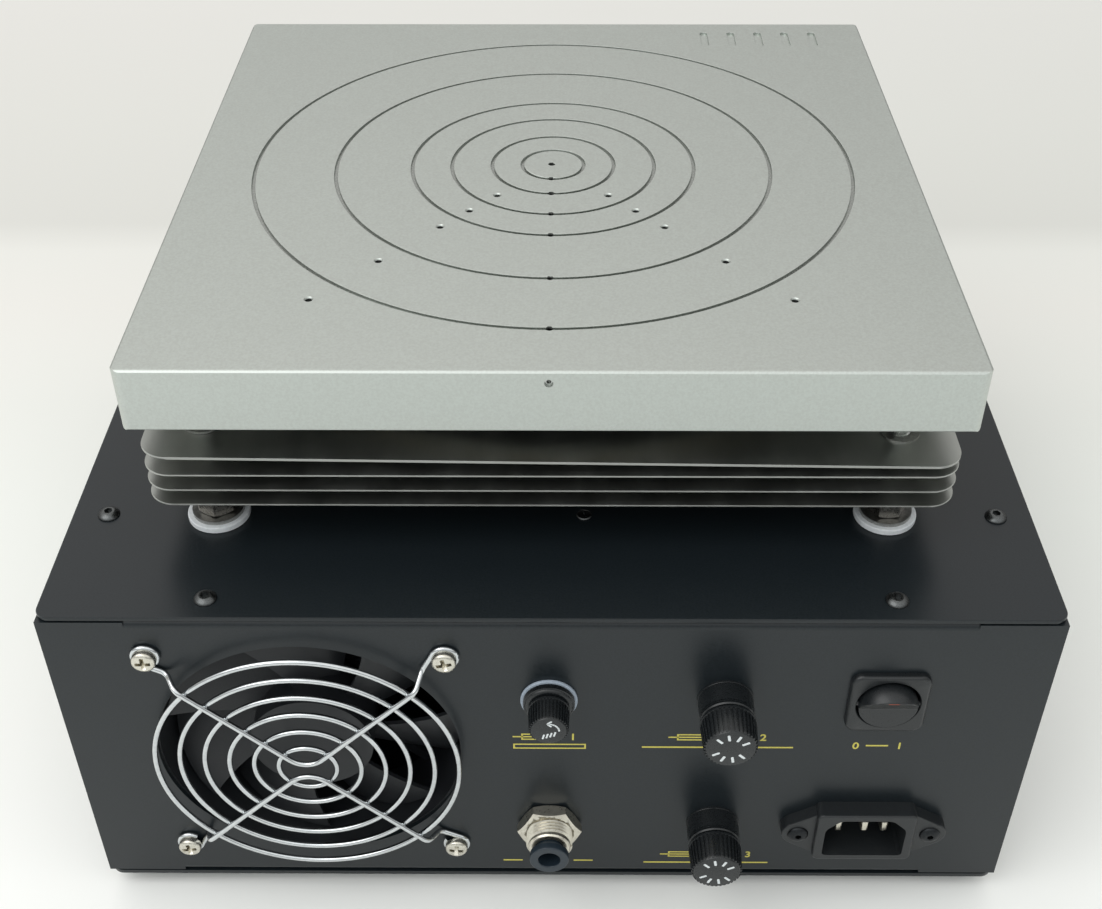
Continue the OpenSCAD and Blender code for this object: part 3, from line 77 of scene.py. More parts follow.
def add_node(material, kind, settings, inputs):
    """Adds a node. An input is a plain value, or another node's output to link."""
    made = material.node_tree.nodes.new(kind)
    for name, value in settings.items():
        setattr(made, name, value)
    for name, value in inputs.items():
        if isinstance(value, bpy.types.NodeSocket):
            material.node_tree.links.new(value, made.inputs[name])
        else:
            made.inputs[name].default_value = value
    return made


def spread(material, value, low, high, to_low, to_high):
    """A node that takes this value from between low and high to between these two, and is clamped there."""
    return add_node(material, "ShaderNodeMapRange", {}, {
        "Value": value, "From Min": low, "From Max": high, "To Min": to_low, "To Max": to_high}).outputs["Result"]


def multiplied(material, one, other):
    """The product of two nodes' outputs."""
    return add_node(material, "ShaderNodeMath", {"operation": "MULTIPLY"}, {0: one, 1: other}).outputs[0]


# The camera is fitted to the photograph
deselect()
bpy.ops.object.camera_add(
    location=(0.002513, -0.414999, 0.399109),
    rotation=[math.radians(a) for a in (51.48191, 0.11387, 0.37633)],
)
camera = bpy.context.object
camera.data.sensor_width = 36
camera.data.lens = 47.635
bpy.context.scene.camera = camera
bpy.context.scene.view_settings.view_transform = "Standard"

# A plain table, a hair below the feet. Its colour holds painted light and shade: the tones along Y are
# brightest just in front of the case and darker away from it, with a painted darker band behind the object
# where the backdrop's foot would be, and a painted shade darkens it a little towards +X.
deselect()
bpy.ops.mesh.primitive_plane_add(size=8, location=(0, 0, -0.0002))
table = bpy.context.object
table.name = "table"
table_card = bpy.data.materials.new("matt_white_card")
table_card.use_nodes = True
shader = table_card.node_tree.nodes["Principled BSDF"]
place = add_node(table_card, "ShaderNodeTexCoord", {}, {})
axes = add_node(table_card, "ShaderNodeSeparateXYZ", {}, {"Vector": place.outputs["Object"]})
reach = spread(table_card, axes.outputs["Y"], -0.55, 0.65, 0, 1)
tone = add_node(table_card, "ShaderNodeValToRGB", {}, {"Fac": reach})
# Painted light along Y: bright near the case, darker farther off and beyond the backdrop's foot
painted_light_stops = tone.color_ramp.elements
painted_light_stops[0].position, painted_light_stops[0].color = 0.0, linear("#f0f2f1")
painted_light_stops[1].position, painted_light_stops[1].color = 1.0, linear("#dddbd7")
for spot, code in (
        (0.30, "#f4f6f4"), (0.345, "#f8f8f5"), (0.41, "#f5f5f1"), (0.50, "#eeefea"), (0.56, "#e7e7e2"),
        (0.63, "#e4e2dd"), (0.675, "#e1e0db"), (0.70, "#d5d4cf"), (0.80, "#d8d7d2")):
    painted_light_stops.new(spot).color = linear(code)
# Painted shade: the card darkens a little towards +X, away from the lamp
side = spread(table_card, axes.outputs["X"], -0.4, 0.4, 0, 1)
painted_side_shade = add_node(table_card, "ShaderNodeMix", {"data_type": "RGBA", "blend_type": "MULTIPLY"}, {
    0: side, 6: tone.outputs["Color"], 7: linear("#fcfdfd")})
table_card.node_tree.links.new(painted_side_shade.outputs[2], shader.inputs["Base Color"])
shader.inputs["Roughness"].default_value = 0.9
shader.inputs["Specular IOR Level"].default_value = 0.1
table.data.materials.append(table_card)

# The room: white, brightest overhead and dimmer towards the horizon. It is brighter and cooler behind the
# camera than beyond the table, and brighter on the left than on the right.
world = bpy.data.worlds.new("white_room")
bpy.context.scene.world = world
world.use_nodes = True
sky = world.node_tree.nodes["Background"]
way = add_node(world, "ShaderNodeTexCoord", {}, {})
axes = add_node(world, "ShaderNodeSeparateXYZ", {}, {"Vector": way.outputs["Generated"]})
upwards = spread(world, axes.outputs["Z"], 0.2, 0.68, 0.45, 1.38)
onwards = spread(world, axes.outputs["Y"], -0.7, 0.2, 1.3, 0.95)
across = spread(world, axes.outputs["X"], -0.6, 0.6, 1.05, 0.76)
warmth = spread(world, axes.outputs["Y"], -0.6, 0.3, 0, 1)
tint = add_node(world, "ShaderNodeValToRGB", {}, {"Fac": warmth})
tint.color_ramp.elements[0].color = linear("#eef1f1")
tint.color_ramp.elements[1].color = linear("#f5f4f2")
world.node_tree.links.new(tint.outputs["Color"], sky.inputs["Color"])
level = multiplied(world, multiplied(world, upwards, onwards), across)
world.node_tree.links.new(level, sky.inputs["Strength"])

# A broad soft lamp above the front left
deselect()
bpy.ops.object.light_add(type="AREA", location=(-0.9, -0.7, 1.5))
lamp = bpy.context.object
lamp.name = "soft_lamp"
lamp.data.shape = "RECTANGLE"
lamp.data.size, lamp.data.size_y = 1.4, 1.4
lamp.data.energy = 8
lamp.rotation_euler = (Vector((0, 0, 0.1)) - lamp.location).to_track_quat("-Z", "Y").to_euler()


# The case: folded sheet steel walls, with a flat lid and base plate screwed to their flanges. Its black
# powder coat is baked on, and has a fine grain and a satin shine.
UNIT = "hot_plate_unit"
rear_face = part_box("rear_panel")[0].y * 1000
lid_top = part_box("lid_plate")[1].z * 1000
# Millimetres, as in part.scad: the middle of the plate and the case along Y, half the case's width and
# depth, its height between the lid's top and the base plate's underside, and its sheets' thickness
MIDDLE_Y = 4.5
CASE_HALF = 140
CASE_HIGH = 114
SHEET = 1.5


def start_material(name, colour, roughness, metallic=0.0, ior=1.5):
    """A material with these on the shader's own sockets, and the shader."""
    material = bpy.data.materials.new(name)
    material.use_nodes = True
    material.diffuse_color = linear(colour)
    shader = material.node_tree.nodes["Principled BSDF"]
    shader.inputs["Base Color"].default_value = linear(colour)
    shader.inputs["Roughness"].default_value = roughness
    shader.inputs["Metallic"].default_value = metallic
    shader.inputs["IOR"].default_value = ior
    return material, shader


# Most of a noise's values lie between these two
NOISE_SPAN = (0.35, 0.65)


def grain(material, shader, size_mm, height_mm, shades, roughness, stretch=(1, 1, 1)):
    """Grain of this size: a bump, and a colour and roughness that go between two values with it."""
    place = add_node(material, "ShaderNodeTexCoord", {}, {})
    mapped = add_node(material, "ShaderNodeMapping", {}, {"Vector": place.outputs["Object"], "Scale": stretch})
    noise = add_node(material, "ShaderNodeTexNoise", {}, {
        "Vector": mapped.outputs["Vector"], "Scale": 1000 / size_mm, "Detail": 3, "Roughness": 0.6})
    tone = add_node(material, "ShaderNodeValToRGB", {}, {"Fac": noise.outputs["Fac"]})
    for stop, spot, code in zip(tone.color_ramp.elements, NOISE_SPAN, shades):
        stop.position, stop.color = spot, linear(code)
    gloss = spread(material, noise.outputs["Fac"], *NOISE_SPAN, *roughness)
    bump = add_node(material, "ShaderNodeBump", {}, {
        "Height": noise.outputs["Fac"], "Distance": height_mm / 1000, "Strength": 1})
    links = material.node_tree.links
    links.new(tone.outputs["Color"], shader.inputs["Base Color"])
    links.new(gloss, shader.inputs["Roughness"])
    links.new(bump.outputs["Normal"], shader.inputs["Normal"])


def give(material, *names):
    """These CAD nodes get this material in place of the plain one they came with."""
    for name in names:
        for slot in frame["nodes"][name].material_slots:
            slot.material = material


def hand_over(piece, material, nodes, body=UNIT):
    """The piece gets its finish, stands for these CAD nodes and moves with this body."""
    piece.data.materials.clear()
    piece.data.materials.append(material)
    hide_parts(*nodes)
    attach(piece, body)


def pick(kind, wanted):
    """In edit mode, selects only the verts, edges or faces whose middle and self pass this test. Millimetres."""
    bpy.ops.mesh.select_mode(type={"verts": "VERT", "edges": "EDGE", "faces": "FACE"}[kind])
    bpy.ops.mesh.select_all(action="DESELECT")
    form = bmesh.from_edit_mesh(bpy.context.object.data)
    for part in getattr(form, kind):
        corners = [part.co] if kind == "verts" else [corner.co for corner in part.verts]
        middle = sum(corners, Vector()) * (1000 / len(corners))
        if wanted(middle, part):
            part.select_set(True)
    form.select_flush_mode()
    bmesh.update_edit_mesh(bpy.context.object.data)


# Edges that are sharper than this in degrees stay sharp
SHARP = 32
# Faces that lie within this many degrees of one plane are one face
FLAT = 0.3


def make_active(piece):
    """Selects this piece alone, so that operators act on it."""
    deselect()
    piece.select_set(True)
    bpy.context.view_layer.objects.active = piece


def smoothed(piece):
    """Shades curves smooth and flats flat, with flats ruling the normals where they meet a rounded edge."""
    make_active(piece)
    bpy.ops.object.shade_smooth_by_angle(angle=math.radians(SHARP))
    even = piece.modifiers.new("even", "WEIGHTED_NORMAL")
    even.weight = 100
    # The threshold is an area in square metres, and its usual 0.01 would take all the faces here for equal
    even.thresh = 0
    even.keep_sharp = True
    bpy.ops.object.modifier_apply(modifier=even.name)
    # A face with many corners gets its normals first and is split after it, so that a flat stays flat
    thirds = piece.modifiers.new("thirds", "TRIANGULATE")
    thirds.min_vertices = 5
    thirds.ngon_method = "BEAUTY"
    thirds.keep_custom_normals = True
    bpy.ops.object.modifier_apply(modifier=thirds.name)
    return piece


def flats_joined():
    """In edit mode, merges corners in one place and joins the faces that lie in one plane."""
    bpy.ops.mesh.select_all(action="SELECT")
    bpy.ops.mesh.remove_doubles(threshold=1e-6)
    bpy.ops.mesh.dissolve_limited(angle_limit=math.radians(FLAT))


def edge_rounded(node, name, *rims):
    """A copy of a CAD node with rounded edges. A rim is a width in mm, segments, and a test of an edge's middle."""
    make_active(frame["nodes"][node])
    bpy.ops.object.duplicate()
    piece = bpy.context.object
    piece.name = name
    del piece["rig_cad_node"]
    bpy.ops.object.mode_set(mode="EDIT")
    bpy.ops.mesh.customdata_custom_splitnormals_clear()
    flats_joined()
    for width, segments, wanted in rims:
        pick("edges", lambda middle, edge: edge.calc_face_angle(0) > math.radians(SHARP + 3) and wanted(middle))
        bpy.ops.mesh.bevel(offset=width / 1000, segments=segments, clamp_overlap=False, loop_slide=False)
    bpy.ops.object.mode_set(mode="OBJECT")
    return smoothed(piece)


# Polyester powder coat, sprayed and baked: a grain of under a millimetre below a satin gloss
powder_coat, shader = start_material("black_powder_coat", "#171c1f", 0.3, 0.0, 1.44)
grain(powder_coat, shader, 0.6, 0.0025, ("#12181b", "#1b2125"), (0.28, 0.38))
give(powder_coat, "front_panel", "left_panel", "right_panel", "base_plate", "rear_panel")


def every_edge(middle):
    """A rim's test that takes all the sharp edges."""
    return True


# The lid's cut edges are eased before it is coated
lid = edge_rounded("lid_plate", "lid", (0.4, 2, every_edge))
hand_over(lid, powder_coat, ["lid_plate"])


# Case screws: button-head machine screws with a hexagon socket, turned from steel and black oxided. They
# hold the lid and the base plate to the walls' flanges. A small cross-head screw holds the earth lead.
def settle(piece, place, turn=(0, 0, 0)):
    """Puts the piece there, in mm and degrees, with its place in its mesh."""
    make_active(piece)
    piece.location = [value / 1000 for value in place]
    piece.rotation_euler = [math.radians(angle) for angle in turn]
    bpy.ops.object.transform_apply(location=True, rotation=True, scale=True)
    return piece


def drawn_up(name, outline, sides=48, smooth=SHARP):
    """A round piece along Z: a disc is extruded and scaled through an outline of radius and height in mm."""
    deselect()
    radius, height = outline[0]
    bpy.ops.mesh.primitive_circle_add(vertices=sides, radius=radius / 1000, fill_type="NGON")
    piece = bpy.context.object
    piece.name = name
    settle(piece, (0, 0, height))
    bpy.ops.object.mode_set(mode="EDIT")
    bpy.ops.mesh.select_mode(type="FACE")
    bpy.ops.mesh.select_all(action="SELECT")
    for next_radius, next_height in outline[1:]:
        rise = (0, 0, (next_height - height) / 1000)
        bpy.ops.mesh.extrude_region_move(TRANSFORM_OT_translate={"value": rise})
        bpy.ops.transform.resize(value=(next_radius / radius, next_radius / radius, 1))
        radius, height = next_radius, next_height
    bpy.ops.mesh.select_all(action="SELECT")
    bpy.ops.mesh.normals_make_consistent(inside=False)
    bpy.ops.object.mode_set(mode="OBJECT")
    bpy.ops.object.shade_smooth_by_angle(angle=math.radians(smooth))
    return piece


def prism(name, sides, across, low, high):
    """An upright prism with this many sides and this distance across its flats, in mm."""
    deselect()
    radius = across / 2 / math.cos(math.pi / sides)
    bpy.ops.mesh.primitive_cylinder_add(
        vertices=sides, radius=radius / 1000, depth=(high - low) / 1000, location=(0, 0, (low + high) / 2000),
        rotation=(0, 0, -math.pi / 2))
    piece = bpy.context.object
    piece.name = name
    bpy.ops.object.transform_apply(location=True, rotation=True, scale=True)
    return piece


def block(name, low, high):
    """A block between two corners, in mm."""
    deselect()
    bpy.ops.mesh.primitive_cube_add(
        size=1, location=[(a + b) / 2000 for a, b in zip(low, high)], scale=[(b - a) / 1000 for a, b in zip(low, high)])
    piece = bpy.context.object
    piece.name = name
    bpy.ops.object.transform_apply(location=True, rotation=True, scale=True)
    return piece


def cut_with(piece, tool, operation="DIFFERENCE"):
    """Cuts the piece with the tool, which is used up."""
    make_active(piece)
    cutter = piece.modifiers.new("cut", "BOOLEAN")
    cutter.operation = operation
    cutter.solver = "EXACT"
    cutter.object = tool
    bpy.ops.object.modifier_apply(modifier=cutter.name)
    bpy.data.objects.remove(tool)
    return smoothed(piece)


def joined(*pieces):
    """The pieces as one object, which keeps the first one's name."""
    deselect()
    for piece in pieces:
        piece.select_set(True)
    bpy.context.view_layer.objects.active = pieces[0]
    bpy.ops.object.join()
    return pieces[0]


def copy_to(piece, name, place, turn=(0, 0, 0)):
    """A copy of the piece with a mesh of its own, put there."""
    make_active(piece)
    bpy.ops.object.duplicate()
    bpy.context.object.name = name
    return settle(bpy.context.object, place, turn)


def cross_recess(width, length, depth, top):
    """A tool for a cross recess: two bars that narrow towards the bottom of the recess. Millimetres."""
    bars = []
    for turn in (0, 90):
        bar = block("bar", (-length / 2, -width / 2, top - depth), (length / 2, width / 2, top + 0.5))
        bpy.ops.object.mode_set(mode="EDIT")
        pick("faces", lambda middle, face: face.normal.z < -0.9)
        bpy.ops.transform.resize(value=(0.35, 0.7, 1))
        bpy.ops.object.mode_set(mode="OBJECT")
        bars.append(settle(bar, (0, 0, 0), (0, 0, turn)))
    return cut_with(bars[0], bars[1], "UNION")


# Black oxide on turned steel: a thin dark film with a dull metal shine
black_oxide, shader = start_material("black_oxide_steel", "#5c5e5f", 0.3, 1.0)
grain(black_oxide, shader, 0.3, 0.001, ("#525455", "#676969"), (0.24, 0.36))

screw = drawn_up("case_screw", [
    (1.7, -6), (1.73, -5.8), (1.73, 0), (3.1, 0), (3.2, 0.12), (3.18, 0.3), (3.0, 0.62), (2.65, 0.98),
    (2.2, 1.28), (1.75, 1.5), (1.55, 1.56)])
cut_with(screw, prism("socket", sides=6, across=2.2, low=0.5, high=3))
# At each end two in the end wall's flange and two in the side walls', at this X and this far from the end
screw_places = []
for end in (-1, 1):
    for reach_x, inset in ((94.5, 7.4), (129.4, 42.4)):
        for x in (-reach_x, reach_x):
            screw_places.append((x, MIDDLE_Y + end * (CASE_HALF - inset)))
for number, (x, y) in enumerate(screw_places, 1):
    turn = 17 * number
    upper = copy_to(screw, f"lid_screw_{number}", (x, y, lid_top), (0, 0, turn))
    lower = copy_to(screw, f"base_screw_{number}", (x, y, lid_top - CASE_HIGH), (180, 0, turn))
    for piece in (upper, lower):
        hand_over(piece, black_oxide, ["case_screws"])
bpy.data.objects.remove(screw)

earth_place = (9.5, rear_face + 42.5)
earth_screw = drawn_up("earth_screw", [
    (1.2, -6), (1.25, -5.8), (1.25, 0), (2.19, 0), (2.19, 0.3), (2.0, 0.6), (1.5, 0.8), (0.8, 0.9)], 36)
cut_with(earth_screw, cross_recess(width=0.5, length=2.6, depth=0.75, top=0.9))
settle(earth_screw, (*earth_place, lid_top), (0, 0, 20))
hand_over(earth_screw, black_oxide, ["case_screws"])


# Feet: round rubber bumpers, moulded with a recess for the screw that holds each to the base plate.
# The screws and their nuts are zinc plated.
foot_rubber, shader = start_material("moulded_rubber", "#161719", 0.8)
grain(foot_rubber, shader, 0.5, 0.01, ("#131416", "#1a1b1d"), (0.75, 0.85))
give(foot_rubber, "feet")

# Zinc plated steel: pale grey, with a slightly uneven sheen
zinc_plate, shader = start_material("zinc_plated_steel", "#a9a9a6", 0.35, 1.0)
grain(zinc_plate, shader, 0.6, 0.003, ("#9b9b98", "#b2b2af"), (0.28, 0.42))
give(zinc_plate, "foot_screws", "clamp_screws", "heater_clamp", "shield_spacers", "steel_washers")


# The hot plate: a thick aluminium plate, milled with vacuum grooves and pin holes, then bead blasted, so
# it scatters the light evenly. A steel plug closes its cross-drilled channel.
plate_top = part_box("hot_plate")[1].z * 1000
# Millimetres: how wide the grooves' outer walls and their floors are, the row of vacuum holes, and the
# drills' outlines of radius and height above the plate's top
GROOVE_WIDTHS = (19.5, 38.5, 64, 89, 137, 188)
GROOVE_BREADTH = 0.6
VACUUM_ROW_X = -0.5
BORE_DEPTH = 6
VACUUM_DRILL = [(0.95, -BORE_DEPTH), (0.95, -0.55), (1.05, -0.45), (1.05, 0.5)]
COUNTERSINK = [(0.85, -1), (0.85, -0.45), (1.35, 0), (1.35, 0.5)]
blasted, shader = start_material("bead_blasted_aluminium", "#bcbfba", 0.45, 1.0)
grain(blasted, shader, 0.7, 0.0016, ("#bbbfba", "#c5cac5"), (0.4, 0.48))
plate = edge_rounded("hot_plate", "plate", (0.28, 2, lambda m: m.z > plate_top - 0.02))
# A vacuum hole is drilled in the middle and through each groove, and each pin hole is countersunk. The
# countersink's tip ends in the air of the CAD's bore, so that no two faces of the cut lie in one plane.
holes = [((VACUUM_ROW_X, MIDDLE_Y - width / 2), VACUUM_DRILL) for width in (0, *GROOVE_WIDTHS)]
for reach in (26.5, 39, 51.75, 77.25, 104):
    for around in (math.radians(-40), math.radians(40)):
        holes.append(((reach * math.sin(around), MIDDLE_Y - reach * math.cos(around)), COUNTERSINK))
drills = [settle(drawn_up("drill", outline, 24), (*place, plate_top)) for place, outline in holes]
cut_with(plate, joined(*drills))
# The faces that the cut left are joined again, so that the flat top stays one face
bpy.ops.object.mode_set(mode="EDIT")
flats_joined()
bpy.ops.object.mode_set(mode="OBJECT")
smoothed(plate)
hand_over(plate, blasted, ["hot_plate"])

# The drilled bores' walls get a dark metal: painted shade that stands in for the shade deep in the holes.
# Their walls lie within this reach of their axis, and start this deep, in mm.
BORE_REACH = 1.15
BORE_START = 0.25
bore_painted_shade, shader = start_material("painted_shade_bore", "#3a3b3a", 0.5, 1.0)
grain(bore_painted_shade, shader, 0.4, 0.001, ("#333433", "#414241"), (0.45, 0.6))
plate.data.materials.append(bore_painted_shade)
# The grooves' floors and inner walls keep the cutter's smoother shine, and their darker colour is painted shade in the
# grooves
milled, shader = start_material("milled_aluminium_painted_shade", "#a0a39f", 0.24, 1.0)
grain(milled, shader, 0.4, 0.001, ("#999c98", "#a8aba7"), (0.2, 0.3))
plate.data.materials.append(milled)
for face in plate.data.polygons:
    corners = [plate.data.vertices[number].co * 1000 for number in face.vertices]
    depths = [plate_top - corner.z for corner in corners]
    # The flat top, its rims and all that is deeper than a bore stay blasted
    if max(depths) > BORE_DEPTH + 0.1 or min(depths) < BORE_START:
        continue
    # A bore's walls get the painted shade
    if any(all(math.hypot(corner.x - x, corner.y - y) < BORE_REACH for corner in corners) for (x, y), _ in holes):
        face.material_index = 1
    # A groove's floor and inner wall get the smoother shine with the painted shade
    reaches = [math.hypot(corner.x, corner.y - MIDDLE_Y) for corner in corners]
    if any(half - GROOVE_BREADTH < min(reaches) < half and max(reaches) < half + GROOVE_BREADTH
           for half in (width / 2 for width in GROOVE_WIDTHS)):
        face.material_index = 2

# Drawn and turned stainless steel, with a fine even grain
stainless, shader = start_material("turned_stainless_steel", "#b4b6b3", 0.25, 1.0)
grain(stainless, shader, 0.5, 0.002, ("#aeb0ad", "#babcb9"), (0.2, 0.3))
give(stainless, "temperature_probe", "vacuum_pipe", "channel_plug")


# The heater: a mica disc with its winding pressed inside, held up against the plate by a zinc plated
# clamp plate and six screws.
mica, shader = start_material("pressed_mica", "#8f7f66", 0.6)
grain(mica, shader, 2.0, 0.01, ("#80715a", "#9b8b71"), (0.5, 0.7))
give(mica, "heater_disc")


# Heat shields: four thin stainless sheets with a satin rolled face, one above the other under the plate.
# Each is drawn half a millimetre thick, with its upper edges eased, so that its rim shows as a fine line.
shield_steel, shader = start_material("rolled_stainless_sheet", "#a9aba7", 0.38, 1.0)
grain(shield_steel, shader, 9.0, 0.004, ("#a4a6a2", "#aeb0ac"), (0.34, 0.42), (1, 0.4, 1))
# A sheet's underside is drawn this much above the CAD's, in mm
SHIELD_THINNED = 0.3
for number in (1, 2, 3, 4):
    middle_z = sum(corner.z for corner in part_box(f"heat_shield_{number}")) * 500
    sheet = edge_rounded(
        f"heat_shield_{number}", f"heat_shield_sheet_{number}", (0.2, 2, lambda m: m.z > middle_z + 0.1))
    bpy.ops.object.mode_set(mode="EDIT")
    pick("verts", lambda middle, vert: middle.z < middle_z)
    bpy.ops.transform.translate(value=(0, 0, SHIELD_THINNED / 1000))
    bpy.ops.object.mode_set(mode="OBJECT")
    hand_over(sheet, shield_steel, [f"heat_shield_{number}"])


# Standoffs: four threaded stainless rods screwed into the plate. Zinc plated nuts and washers clamp them
# to the lid between white PTFE bushes and carry the shields, with tubes between the sheets.
def threaded(name, outline, pitch, crest, depth, turns, start, sides):
    """A round core drawn through an outline, with a screw thread wound on it as one closed ridge. Millimetres."""
    core = drawn_up(name, outline, sides * 2)
    deselect()
    bpy.ops.mesh.primitive_circle_add(vertices=3, radius=1, fill_type="NOTHING")
    ridge = bpy.context.object
    # The ridge's foot lies a little inside the core
    foot = crest - depth - 0.05
    corners = ((foot, 0), (foot, pitch * 0.9), (crest, pitch * 0.45))
    for corner, (x, z) in zip(ridge.data.vertices, corners):
        corner.co = (x / 1000, 0, (start + z) / 1000)
    winding = ridge.modifiers.new("winding", "SCREW")
    winding.axis = "Z"
    winding.screw_offset = pitch / 1000
    winding.iterations = turns
    winding.steps = winding.render_steps = sides
    winding.use_normal_calculate = True
    bpy.ops.object.modifier_apply(modifier=winding.name)
    bpy.ops.object.mode_set(mode="EDIT")
    bpy.ops.mesh.select_mode(type="EDGE")
    bpy.ops.mesh.select_all(action="DESELECT")
    bpy.ops.mesh.select_non_manifold()
    bpy.ops.mesh.fill()
    bpy.ops.mesh.select_all(action="SELECT")
    bpy.ops.mesh.normals_make_consistent(inside=False)
    bpy.ops.object.mode_set(mode="OBJECT")
    bpy.ops.object.shade_smooth_by_angle(angle=math.radians(SHARP))
    return joined(core, ridge)


rod_low, rod_high = (corner.z * 1000 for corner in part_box("standoff_rods"))
rod = threaded("standoff_rod", [
    (2.3, rod_low), (2.6, rod_low + 0.4), (2.6, rod_high - 0.4), (2.3, rod_high)],
    pitch=1.0, crest=3.0, depth=0.45, turns=int(rod_high - rod_low) - 2, start=rod_low + 0.5, sides=16)
rod_places = [(x, MIDDLE_Y + y) for x in (-97, 97) for y in (-97, 97)]
for number, (x, y) in enumerate(rod_places, 1):
    piece = copy_to(rod, f"standoff_rod_{number}", (x, y, 0), (0, 0, 40 * number))
    hand_over(piece, stainless, ["standoff_rods"])
bpy.data.objects.remove(rod)


def nut(name, across, bore, height):
    """A hexagon nut with chamfered corners, its bore cut through, standing on z = 0. Millimetres."""
    made = prism(name, sides=6, across=across, low=0, high=height)
    corner = across / math.sqrt(3)
    flat_end = across * 0.47
    slope = (corner - flat_end) * 0.55
    shell = drawn_up("shell", [
        (flat_end, 0), (corner + 0.02, slope), (corner + 0.02, height - slope), (flat_end, height)], 64)
    cut_with(made, shell, "INTERSECT")
    drill = drawn_up("drill", [
        (bore / 2 + 0.35, -0.3), (bore / 2, 0.3), (bore / 2, height - 0.3), (bore / 2 + 0.35, height + 0.3)], 48)
    return cut_with(made, drill)


# Zinc plated nuts keep the dark lustre of their drawn flats
nut_steel, shader = start_material("plated_nut_steel", "#8f8c87", 0.3, 1.0)
grain(nut_steel, shader, 0.8, 0.004, ("#7f7c77", "#9c9994"), (0.22, 0.4))
# Millimetres: a bush's flange with its washer, and the gap between two nuts that are locked together
WASHERS_HIGH = 3.2
ROD_NUT_HIGH = 5.2
NUT_GAP = 0.05
rod_nut = nut("rod_nut", across=10, bore=6.02, height=ROD_NUT_HIGH)
nut_levels = {
    "top": lid_top + WASHERS_HIGH + (ROD_NUT_HIGH + NUT_GAP),
    "middle": lid_top + WASHERS_HIGH,
    "low": lid_top - SHEET - WASHERS_HIGH - ROD_NUT_HIGH,
}
for number, (x, y) in enumerate(rod_places, 1):
    turn = 30 if x < 0 else 0
    for level, height in nut_levels.items():
        piece = copy_to(rod_nut, f"rod_nut_{level}_{number}", (x, y, height), (0, 0, turn))
        hand_over(piece, nut_steel, ["steel_nuts"])
bpy.data.objects.remove(rod_nut)
EARTH_NUT_HIGH = 2
earth_nut = nut("earth_nut", across=5, bore=2.52, height=EARTH_NUT_HIGH)
settle(earth_nut, (*earth_place, lid_top - SHEET - EARTH_NUT_HIGH))
hand_over(earth_nut, nut_steel, ["steel_nuts"])

# Turned PTFE: waxy white, with rounded rims
ptfe, shader = start_material("turned_ptfe", "#e9edf0", 0.45)
grain(ptfe, shader, 0.8, 0.003, ("#e4e8eb", "#eef1f3"), (0.4, 0.5))
bushes = edge_rounded("insulating_washers", "rod_bushes", (0.4, 3, every_edge))
hand_over(bushes, ptfe, ["insulating_washers"])


# The fan: a black glass-filled frame with an impeller of seven swept blades, whose shaft turns in the
# hub's bearing. Both are moulded, and have the mould's fine satin grain.
fan_plastic, shader = start_material("black_fan_plastic", "#1e2023", 0.42)
grain(fan_plastic, shader, 0.4, 0.004, ("#1a1c1f", "#232528"), (0.37, 0.48))
give(fan_plastic, "fan_frame", "fan_impeller")


# The finger guard: six rings and two bent wires of spot-welded steel, bright chromed. Four cross-head
# screws with pan heads, nickel plated, go through its eyes, the panel and the fan's flange into nuts.
chrome, shader = start_material("bright_chrome", "#cdd0d2", 0.07, 1.0)
grain(chrome, shader, 1.5, 0.0006, ("#c8cbcd", "#d3d6d7"), (0.04, 0.1))
give(chrome, "fan_guard")


def on_panel(piece, spot):
    """Puts a piece made along Z on the rear panel, pointing out of it, at this X and Z in mm."""
    return settle(piece, (spot[0], rear_face, spot[1]), (90, 0, 0))


def copy_on_panel(piece, name, spot, turn=0):
    """A copy of a piece made along Z, turned about it and put on the rear panel."""
    return on_panel(copy_to(piece, name, (0, 0, 0), (0, 0, turn)), spot)


# Nickel plate has a warm cream shine on turned heads
nickel, shader = start_material("bright_nickel", "#d3cfc3", 0.28, 1.0)
grain(nickel, shader, 0.8, 0.002, ("#cbc7bb", "#dbd7cb"), (0.22, 0.34))
FAN_CENTRE = (-70.5, 64.5)
FAN_SCREW_REACH = 41.25
pan_screw = drawn_up("pan_screw", [
    (1.4, -7.4), (1.73, -7), (1.73, 1.6), (3.3, 1.6), (3.42, 1.72), (3.42, 2.8), (3.32, 3.25), (3.0, 3.6),
    (2.4, 3.82), (1.2, 3.9)])
cut_with(pan_screw, cross_recess(width=1.2, length=4.9, depth=2.2, top=3.85))
fan_nut = nut("fan_nut", across=6.125, bore=3.52, height=2.5)
settle(fan_nut, (0, 0, -8.1))
for number, (side, end, turn) in enumerate(((-1, -1, 8), (-1, 1, 2), (1, -1, -6), (1, 1, 12)), 1):
    spot = (FAN_CENTRE[0] + side * FAN_SCREW_REACH, FAN_CENTRE[1] + end * FAN_SCREW_REACH)
    upright = copy_on_panel(pan_screw, f"fan_screw_{number}", spot, turn)
    hexagon = copy_on_panel(fan_nut, f"fan_nut_{number}", spot)
    for piece in (upright, hexagon):
        hand_over(piece, nickel, ["fan_fasteners"])
for spare in (pan_screw, fan_nut):
    bpy.data.objects.remove(spare)


# Fuse holders: moulded in black thermoset, with a smooth collar outside the panel and a ribbed cap that
# draws the fuse out. The small one sits on a grey sealing ring. White marks are printed on the caps.
holder_plastic, shader = start_material("black_moulded_plastic", "#171a1c", 0.3)
grain(holder_plastic, shader, 0.4, 0.002, ("#141719", "#1b1e20"), (0.24, 0.36))
give(holder_plastic, "fuse_holder_nuts")


# Fine steps such as a collar's grooves and a cap's ribs stay sharp from this angle in degrees
FINE_SHARP = 25


def spot_of(node):
    """The middle of a CAD node's box in X and Z, in mm."""
    low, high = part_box(node)
    return (low.x + high.x) * 500, (low.z + high.z) * 500


